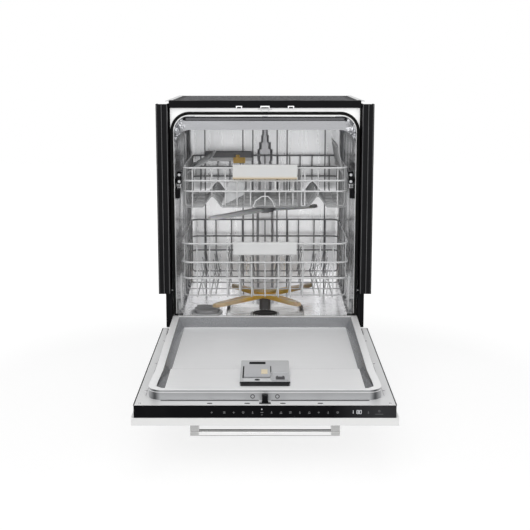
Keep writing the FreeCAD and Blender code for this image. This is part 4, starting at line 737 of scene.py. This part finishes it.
def wire_tree():
    """Round wire along the edges of a mesh, with its corners bent."""
    inputs = {"Wire Radius": "NodeSocketFloat", "Bend Radius": "NodeSocketFloat",
              "Finish": "NodeSocketMaterial"}
    tree, start, end = new_tree("bent_wire", inputs)
    path = tree.nodes.new("GeometryNodeMeshToCurve")
    bend = tree.nodes.new("GeometryNodeFilletCurve")
    bend.mode = "POLY"
    bend.inputs["Count"].default_value = 6
    bend.inputs["Limit Radius"].default_value = True
    section = tree.nodes.new("GeometryNodeCurvePrimitiveCircle")
    section.inputs["Resolution"].default_value = 10
    sweep = tree.nodes.new("GeometryNodeCurveToMesh")
    sweep.inputs["Fill Caps"].default_value = True
    smooth = tree.nodes.new("GeometryNodeSetShadeSmooth")
    tree.links.new(start.outputs["Bend Radius"], bend.inputs["Radius"])
    tree.links.new(start.outputs["Wire Radius"], section.inputs["Radius"])
    tree.links.new(section.outputs["Curve"], sweep.inputs["Profile Curve"])
    chain(tree, start, path, bend, sweep, smooth)
    finish_tree(tree, start, end, smooth)
    return tree


def run_tree(tree, points, edges, name, settings):
    """The plain mesh that a tree makes from points, their edges and its named inputs."""
    base = bpy.data.meshes.new(name + "_base")
    base.from_pydata([tuple(point) for point in points], edges, [])
    holder = bpy.data.objects.new(name + "_base", base)
    bpy.context.collection.objects.link(holder)
    modifier = holder.modifiers.new("make", "NODES")
    modifier.node_group = tree
    for item in tree.interface.items_tree:
        if item.item_type == "SOCKET" and item.in_out == "INPUT" and item.name in settings:
            modifier[item.identifier] = settings[item.name]
    view = bpy.context.evaluated_depsgraph_get()
    view.update()
    data = bpy.data.meshes.new_from_object(holder.evaluated_get(view))
    data.name = name
    bpy.data.objects.remove(holder)
    return data


pattern_copies = copies_tree()
bent_wires = wire_tree()


def copies_of(pattern_mesh, points, name, finish, body, slot):
    """A piece made of one small pattern at many places."""
    pattern = bpy.data.objects.new(name + "_pattern", pattern_mesh)
    bpy.context.collection.objects.link(pattern)
    data = run_tree(pattern_copies, points, [], name, {"Pattern": pattern, "Finish": finish})
    bpy.data.objects.remove(pattern)
    add_piece(name, data, finish, body)


def wires_along(routes, radius, bend, name, finish, body):
    """A piece of round wires, each along its own route of points."""
    points = []
    edges = []
    for route in routes:
        first = len(points)
        points += route
        edges += [(n, n + 1) for n in range(first, len(points) - 1)]
    settings = {"Wire Radius": radius * millimetre, "Bend Radius": bend * millimetre, "Finish": finish}
    add_piece(name, run_tree(bent_wires, points, edges, name, settings), finish, body)


def turned_pattern(name, profile, steps):
    """A small turned shape round the upright axis, to be copied to many places."""
    mesh = bmesh.new()
    add_lathe(mesh, profile, Vector(), up, steps)
    return closed_mesh(mesh, name)


def slot_pattern(name, half_length, half_width, thickness):
    """A flat plate with round ends, set into a slot."""
    end_steps = 6
    outline = []
    for end in (1, -1):
        for step in range(end_steps + 1):
            angle = math.pi * (step / end_steps - end / 2)
            x = end * (half_length - half_width) + half_width * math.cos(angle)
            outline.append(Vector((x, half_width * math.sin(angle), 0.0)) * millimetre)
    mesh = bmesh.new()
    add_plate(mesh, outline, up, thickness)
    return closed_mesh(mesh, name)


# Finish, body and slot that several pieces share
black_on_door = (matt_black, "door", "black_plastic")
black_on_cabinet = (matt_black, "cabinet", "black_plastic")


# Small hardware of the door
def door_hardware():
    """Screws, slots, grommets, latch plate and grooves of the liner, with a dark strip of painted shade
    along the foot of the rim.
    """
    low_dome = [(0.0, 0.8), (1.8, 0.8), (3.0, 0.5), (3.4, 0.0), (0.0, 0.0)]
    screw_head = turned_pattern("screw_head", low_dome, 16)
    screw_places = [at(side * x, y, 0.0) for side in (-1, 1)
                    for x, y in ((281.0, -655.0), (277.0, -560.0), (277.0, -330.0), (277.0, -100.0))]
    copies_of(screw_head, screw_places, "liner_screws", screw_steel, "door", "steel")
    slot_plate = slot_pattern("slot_plate", 6.2, 2.8, 0.4)
    slot_places = [at(side * x, flange_slot_y, 0.0) for side in (-1, 1) for x in (40.0, 124.0)]
    copies_of(slot_plate, slot_places, "flange_slots", *black_on_door)
    grommets = bmesh.new()
    round_lip = [(3.2, 0.0), (3.4, 0.8), (4.2, 1.2), (5.0, 0.6), (5.2, 0.0)]
    for x in (-28.0, 28.0):
        add_lathe(grommets, round_lip, at(x, rim_front, 9.5), forward, 20)
    add_drawn("rim_grommets", grommets, dark_plastic, "door", "dark_grey_plastic")
    add_blocks("latch_plate", [((-13.0, -660.0, 0.0), (13.0, -653.5, 1.6), 0.5)], *black_on_door)
    # A dark strip of painted shade along the foot of the rim's wall, in the seal's rubber.
    add_blocks("rim_foot_seal", both_sides((14.0, rim_front - 2.2, 0.0), (236.0, rim_front - 0.4, 0.9), 0.3),
               seal_rubber, "door", "rubber")
    add_blocks("flange_grooves", both_sides((272.6, -600.0, -0.1), (273.6, -60.0, 0.3)),
               groove_steel, "door", "stainless")


def pan_side_strips():
    """The polished strips that carry the slant of the pan's side walls down to its raised floor, dark with
    painted shade.
    """
    near, far = rim_front + 26.0, pan_step_y - 0.5
    floor = pan_floor + pan_step + 0.2
    strips = bmesh.new()
    for side in (-1, 1):
        outline = [at(side * 245.5, y, rim_height(y) - 1.2) for y in (near, far)]
        outline += [at(side * 229.0, y, floor) for y in (far, near)]
        add_plate(strips, outline, -up, 0.4)
    add_drawn("pan_side_strips", strips, pan_wall_steel, "door", "stainless")


def edge_trims():
    """Thin black strips along the sides of the liner, where the edge of the door shell shows."""
    strips = both_sides((292.0, -668.0, -2.0), (294.6, 46.0, 0.4), 0.3)
    add_blocks("liner_edge_trims", strips, *black_on_door)


# Signs of the control strip
def sign_bar(mesh, x, z, width, height):
    """A thin bar on the face of the strip."""
    add_block(mesh, (x - width / 2, free_edge - sign_rise, z - height / 2),
              (x + width / 2, free_edge + sign_root, z + height / 2))


def sign_ring(mesh, x, z, radius, line):
    """A thin upright ring on the face of the strip."""
    inner = radius - line
    profile = [(inner, 0.0), (inner, sign_rise), (radius, sign_rise), (radius, 0.0)]
    add_lathe(mesh, profile, at(x, free_edge, z), forward, 20)


def sign_shapes(mesh, kind, x, z):
    """One of a few plain symbols: ring, bars, cross, dome or drop."""
    if kind == "ring":
        sign_ring(mesh, x, z, 2.6, 0.9)
        sign_bar(mesh, x, z, 1.2, 1.2)
    elif kind == "bars":
        for row in (-1, 0, 1):
            sign_bar(mesh, x, z + row * 1.9, 5.2, 0.9)
    elif kind == "cross":
        sign_bar(mesh, x, z, 5.0, 1.0)
        sign_bar(mesh, x, z, 1.0, 5.0)
    elif kind == "dome":
        sign_ring(mesh, x, z, 2.2, 0.8)
        sign_bar(mesh, x, z - 2.6, 6.0, 0.8)
    else:
        sign_bar(mesh, x, z + 1.2, 1.4, 2.8)
        sign_ring(mesh, x, z - 1.6, 1.7, 0.8)


def digit(mesh, x, z, lit):
    """A numeral of plain bars; lit names the ones that are on."""
    width, height, line = 4.0, 8.0, 0.8
    side, half = width / 2, height / 2
    places = {
        "top": (0.0, half, width, line), "middle": (0.0, 0.0, width, line),
        "bottom": (0.0, -half, width, line),
        "upper_left": (-side, half / 2, line, half), "upper_right": (side, half / 2, line, half),
        "lower_left": (-side, -half / 2, line, half), "lower_right": (side, -half / 2, line, half),
    }
    for part in lit:
        dx, dz, wide, tall = places[part]
        sign_bar(mesh, x + dx, z + dz, wide, tall)


def control_signs():
    """A row of printed symbols with a gap for the lit one, a lit number, and fainter symbols beside it."""
    printed = bmesh.new()
    kinds = ("bars", "cross", "ring", "drop", None, "drop", "dome", "bars", "drop", "dome", "cross", "drop",
             "ring")
    sign_shapes(printed, "cross", -119.0, sign_row)
    for n, kind in enumerate(kinds):
        if kind:
            sign_shapes(printed, kind, first_sign + sign_spacing * n, sign_row)
    sign_bar(printed, middle_sign, sign_row, 6.0, 1.4)
    sign_bar(printed, middle_sign, sign_row - 5.5, 4.0, 1.2)
    add_drawn("printed_signs", printed, sign_grey, "door", "gloss_black")
    lit = bmesh.new()
    right_bars = ("upper_right", "lower_right")
    ring_bars = ("top", "bottom", "upper_left", "lower_left", *right_bars)
    sign_bar(lit, middle_sign, sign_row + 7.5, 2.0, 2.0)
    for x, bars in ((195.0, right_bars), (207.0, ("middle", *ring_bars)), (213.0, ring_bars)):
        digit(lit, x, sign_row + 1.0, bars)
    add_drawn("lit_signs", lit, sign_white, "door", "gloss_black")
    faint = bmesh.new()
    sign_shapes(faint, "drop", 231.0, sign_row)
    sign_shapes(faint, "ring", 255.0, sign_row + 3.0)
    sign_bar(faint, 255.0, sign_row - 4.0, 18.0, 1.0)
    add_drawn("faint_signs", faint, sign_faint, "door", "gloss_black")


# Dispenser trim
def dispenser_trim():
    """Button and seals of the detergent lid, its release, the bezel with a dark plate of painted shade in
    the dispenser's slot, and the catch of the rinse aid flap.
    """
    face = dispenser_face
    add_blocks("lid_button", [((-9.0, -521.0, lid_top - 0.2), (6.0, -488.0, lid_top + 2.0), 0.8)],
               cream_plastic, "detergent_lid", "amber_plastic")
    seal_runs = (((-53.0, -545.0), (-49.8, -444.0)), ((-49.8, -546.0), (12.8, -542.3)),
                 ((12.8, -503.0), (15.0, -444.0)))
    seal_blocks = [((*low, face - 0.2), (*high, face + 0.2)) for low, high in seal_runs]
    add_blocks("lid_seal", seal_blocks, seal_rubber, "door", "rubber")
    add_blocks("lid_sill", [((-50.0, -570.0, face - 0.2), (13.0, -548.0, face + 1.0), 0.4)],
               pale_plastic, "door", "pale_grey_plastic")
    release = bmesh.new()
    button = [(0.0, 1.4), (6.0, 1.4), (6.6, 0.9), (6.6, 0.0), (0.0, 0.0)]
    add_lathe(release, button, at(-18.0, -562.5, face), up, 20)
    add_drawn("lid_release", release, *black_on_door)
    # The second block is a dark plate of painted shade in the dispenser's slot.
    bezel = [((-58.3, dispenser_front, face - 0.3), (58.3, -575.0, face + 0.3), 0.3),
             ((-38.3, -425.5, face - 2.0), (1.3, -404.5, face - 0.1))]
    add_blocks("dispenser_bezel", bezel, *black_on_door)
    catch = [((25.0, -568.0, lid_top - 0.2), (46.0, -544.0, lid_top + 0.4), 0.3),
             ((30.0, -565.0, lid_top + 0.3), (41.0, -553.0, lid_top + 0.8), 0.3)]
    for x in (28.5, 42.5):
        catch.append(((x - 1.8, -548.0, lid_top + 0.3), (x + 1.8, -540.0, lid_top + 0.8), 0.3))
    add_blocks("flap_catch", catch, dark_plastic, "rinse_aid_cap", "dark_grey_plastic")


# Filter
def cup_ribs():
    """The ring of upright ribs that a hand grips to turn the filter out."""
    cup_low, cup_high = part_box("filter_cup")
    centre = (Vector(cup_low) + Vector(cup_high)) / 2
    reach = (cup_high[0] - cup_low[0]) / 2 - 0.0008
    rib = turned_pattern("cup_rib", [(0.0, 0.8), (1.0, 0.8), (1.6, 0.0), (1.6, -9.0), (0.0, -9.0)], 8)
    count = 26
    turns = [math.tau * n / count for n in range(count)]
    places = [Vector((centre.x + reach * math.cos(turn), centre.y + reach * math.sin(turn), cup_high[2]))
              for turn in turns]
    copies_of(rib, places, "cup_ribs", pale_plastic, "filter", "dark_grey_plastic")


# Racks
def rack_trim():
    """Stops on the rails, and the clips, wires and supports at the front and back of the upper basket."""
    add_blocks("rail_stops", both_sides((235.5, rail_stop_front, 414.0), (249.0, 74.8, 448.0), 2.5),
               matt_black, "upper_slides", "black_plastic")
    rollers = bmesh.new()
    hub = [(0.0, 1.2), (3.0, 1.2), (4.2, 0.0), (4.2, -0.4), (0.0, -0.4)]
    for side in (-1, 1):
        for z in (421.0, 440.0):
            add_lathe(rollers, hub, at(side * 242.0, rail_stop_front, z), forward, 16)
    add_drawn("stop_rollers", rollers, pale_plastic, "upper_slides", "pale_grey_plastic")
    tray_clip = [((-100.0, 424.0, 440.0), (-62.0, 428.0, basket_top), 1.5),
                 ((-92.0, 423.0, 456.0), (-80.0, 428.0, 466.0), 1.5)]
    add_blocks("tray_clip", tray_clip, clip_amber, "upper_rack", "amber_plastic")
    support = bmesh.new()
    corners = ((-123.0, 352.0), (-59.0, 384.0), (-57.0, 426.0), (-102.0, 419.0))
    add_plate(support, [at(x, basket_front + 2.1, z) for x, z in corners], -forward, 2.0)
    add_drawn("glass_support", support, frosted_plastic, "upper_rack", "pale_grey_plastic")
    hairpin = ((103.0, basket_top), (103.0, 352.0), (113.0, 352.0), (113.0, basket_top))
    wires_along([[at(x, basket_front, z) for x, z in hairpin]], 1.6, 4.0,
                "front_hairpin", wire_coat, "upper_rack")
    arch = ((-34.0, 348.5), (-27.0, 366.0), (-9.0, 379.0), (9.0, 379.0), (21.0, 366.0), (28.0, 348.5))
    wires_along([[at(x, basket_front, z) for x, z in arch]], 1.8, 10.0,
                "hub_arch", wire_coat, "upper_rack")
    front_clip = [((26.5, 60.6, 396.0), (31.5, 64.2, 425.0), 1.2),
                  ((24.5, 60.6, 392.0), (33.5, 64.2, 400.0), 1.2)]
    add_blocks("front_clip", front_clip, white_plastic, "upper_rack", "white_plastic")
    add_blocks("stem_holder", [((93.0, 63.0, 350.0), (100.0, 66.0, 457.0), 0.8)],
               holder_plastic, "upper_rack", "grey_plastic")


def floor_wires():
    """The close row of cross wires that make the floor and sides of the upper basket."""
    half_outline = [(basket_half_width, basket_top), (basket_half_width, basket_floor),
                    (ridge_place + ridge_half_width, basket_floor), (ridge_place, basket_floor + ridge_rise),
                    (ridge_place - ridge_half_width, basket_floor)]
    outline = [(-x, z) for x, z in half_outline] + half_outline[::-1]
    routes = []
    for n in range(floor_wire_count):
        y = first_floor_wire + floor_wire_spacing * n
        routes.append([at(x, y, z) for x, z in outline])
    wires_along(routes, 1.1, 8.0, "floor_wires", shaded_mesh_coat, "upper_rack")


# Cabinet front and top
def cabinet_trim():
    """Strips beside the felt, lip and tabs of the beam, hinge covers, a dark ceiling band of painted
    reflection under a bright lip of painted highlight, and trim ribs with painted highlight.
    """
    add_blocks("top_edge_strips", both_sides((casing_half_width, 42.0, 645.6), (276.0, 540.0, 647.0), 0.3),
               screw_steel, "cabinet", "galvanised_steel")
    lip_half = casing_half_width - 1.0
    beam_lip = ((-lip_half, 4.0, frame_top - 1.2), (lip_half, 5.5, frame_top + 0.6), 0.3)
    add_blocks("beam_lip", [beam_lip], *black_on_cabinet)
    tabs = []
    slots = []
    side_tab = (8.6, 5.6, 2.0)
    middle_tab = (12.6, 10.2, 1.0)
    for x, (half, slot_half, slot_rise) in ((-71.0, side_tab), (0.0, middle_tab), (71.0, side_tab)):
        tabs.append(((x - half, 3.0, frame_top - 1.6), (x + half, 4.2, frame_top + 4.6), 0.4))
        slot_top = frame_top + slot_rise
        slots.append(((x - slot_half, 2.4, frame_top - 2.0), (x + slot_half, 3.2, slot_top), 0.2))
    add_blocks("beam_tabs", tabs, frame_steel, "cabinet", "steel")
    add_blocks("tab_slots", slots, *black_on_cabinet)
    covers = both_sides((casing_half_width + 0.5, 22.0, 8.0), (281.0, 58.0, 109.5), 2.0)
    add_blocks("hinge_covers", covers, *black_on_cabinet)
    # Painted reflection: a dark band on the ceiling step, under a lip of painted highlight.
    band = ((-224.0, 56.0, ceiling_band_low), (224.0, ceiling_step_y, ceiling_band_top), 3.8)
    add_blocks("ceiling_band", [band], band_steel, "cabinet", "stainless")
    lip_low, lip_top = ceiling_band_top - 0.1, ceiling_band_top + 4.1
    lip = both_sides((7.0, 55.0, lip_low), (196.0, ceiling_step_y, lip_top), 1.5)
    add_blocks("ceiling_lip", lip, lip_steel, "cabinet", "stainless")
    # The ribs carry painted highlight.
    ribs = []
    for x in (268.5, 283.5, 296.5):
        ribs += both_sides((x - 0.8, 1.0, 111.0), (x + 0.8, 2.2, 638.5), 0.3)
    add_blocks("trim_ribs", ribs, trim_edge, "cabinet", "black_plastic")


door_hardware()
pan_side_strips()
edge_trims()
cabinet_trim()
control_signs()
dispenser_trim()
cup_ribs()
rack_trim()
floor_wires()


# Camera, floor and light
def set_camera():
    data = bpy.data.cameras.new("camera")
    data.sensor_width = camera_sensor
    data.lens = camera_lens
    camera = bpy.data.objects.new("camera", data)
    camera.location = camera_place
    camera.rotation_euler = (math.pi / 2 - camera_pitch, 0.0, 0.0)
    bpy.context.collection.objects.link(camera)
    bpy.context.scene.camera = camera


def seen_directly(shading):
    """One for what the eye, a mirror or a clear piece sees, and nothing for the rest of the light."""
    ray = shading.tree.nodes.new("ShaderNodeLightPath").outputs
    through = shading.calculate("MAXIMUM", ray["Is Camera Ray"], ray["Is Transmission Ray"])
    return shading.calculate("MAXIMUM", through, ray["Is Glossy Ray"])


def add_floor():
    """A white floor that takes a soft shadow near the machine and glows further out."""
    bpy.ops.mesh.primitive_plane_add(size=14.0)
    floor = bpy.context.object
    floor.name = "studio_floor"
    paint = Finish("studio_floor_paint")
    paint.surface((0.92, 0.92, 0.92), 0.9)
    glow = paint.add("ShaderNodeEmission", {"Strength": 1.1})
    distance = paint.tree.nodes.new("ShaderNodeVectorMath")
    distance.operation = "LENGTH"
    paint.feed(distance.inputs[0], paint.coords)
    share = paint.between(distance.outputs["Value"], 0.72, 1.0, start=0.8, end=1.5)
    paint.mix_into("Material Output", paint.product(seen_directly(paint), share),
                   paint.shader.outputs["BSDF"], glow.outputs["Emission"])
    floor.data.materials.append(paint.material)


def add_card(name, low, high, grey):
    """A grey card on the floor in front of the machine, seen only in what the steel mirrors."""
    mesh = bmesh.new()
    corners = [(low[0], low[1]), (high[0], low[1]), (high[0], high[1]), (low[0], high[1])]
    mesh.faces.new([mesh.verts.new((x, y, 0.004)) for x, y in corners])
    card = bpy.data.objects.new(name, closed_mesh(mesh, name))
    bpy.context.collection.objects.link(card)
    paper = Finish(name + "_paper")
    colour = (grey, grey, grey)
    paper.surface(paper.shade(paper.noise(30.0, 3.0), scaled(colour, 0.9), colour), 0.9)
    card.data.materials.append(paper.material)
    card.visible_camera = False
    card.visible_diffuse = False
    card.visible_shadow = False
    card.visible_transmission = False


def add_softbox(name, place, aim, size, power):
    data = bpy.data.lights.new(name, "AREA")
    data.shape = "RECTANGLE"
    data.size = size[0]
    data.size_y = size[1]
    data.energy = power
    lamp = bpy.data.objects.new(name, data)
    lamp.location = place
    lamp.rotation_euler = (Vector(aim) - Vector(place)).to_track_quat("-Z", "Y").to_euler()
    bpy.context.collection.objects.link(lamp)


def add_world():
    """White where it is seen, and dimmer as a light."""
    world = bpy.data.worlds.new("studio")
    bpy.context.scene.world = world
    world.use_nodes = True
    sky = Shading(world.node_tree)
    white = (1.0, 1.0, 1.0)
    seen = sky.add("ShaderNodeBackground", {"Color": white, "Strength": 1.0})
    light = sky.tree.nodes["Background"]
    sky.feed(light.inputs["Color"], white)
    sky.feed(light.inputs["Strength"], 0.3)
    sky.mix_into("World Output", seen_directly(sky), light.outputs["Background"], seen.outputs["Background"])


middle_of_machine = (0.0, 0.0, 0.4)
set_camera()
add_floor()
add_world()
add_card("front_card", (-0.55, -1.40), (0.55, -0.92), 0.42)
add_card("left_flag", (-0.85, -1.08), (-0.55, -0.74), 0.03)
add_card("right_flag", (0.55, -1.08), (0.85, -0.74), 0.03)
add_softbox("key_softbox", (-1.6, -2.6, 2.6), middle_of_machine, (2.2, 2.2), 30.0)
add_softbox("fill_softbox", (1.8, -2.4, 1.8), middle_of_machine, (2.0, 2.0), 20.0)
add_softbox("top_softbox", (0.0, -0.2, 2.8), middle_of_machine, (2.4, 2.4), 22.0)
add_softbox("front_softbox", (0.0, -3.2, 1.5), (0.0, 0.3, 0.45), (1.6, 1.2), 10.0)
bpy.context.scene.view_settings.view_transform = "Standard"
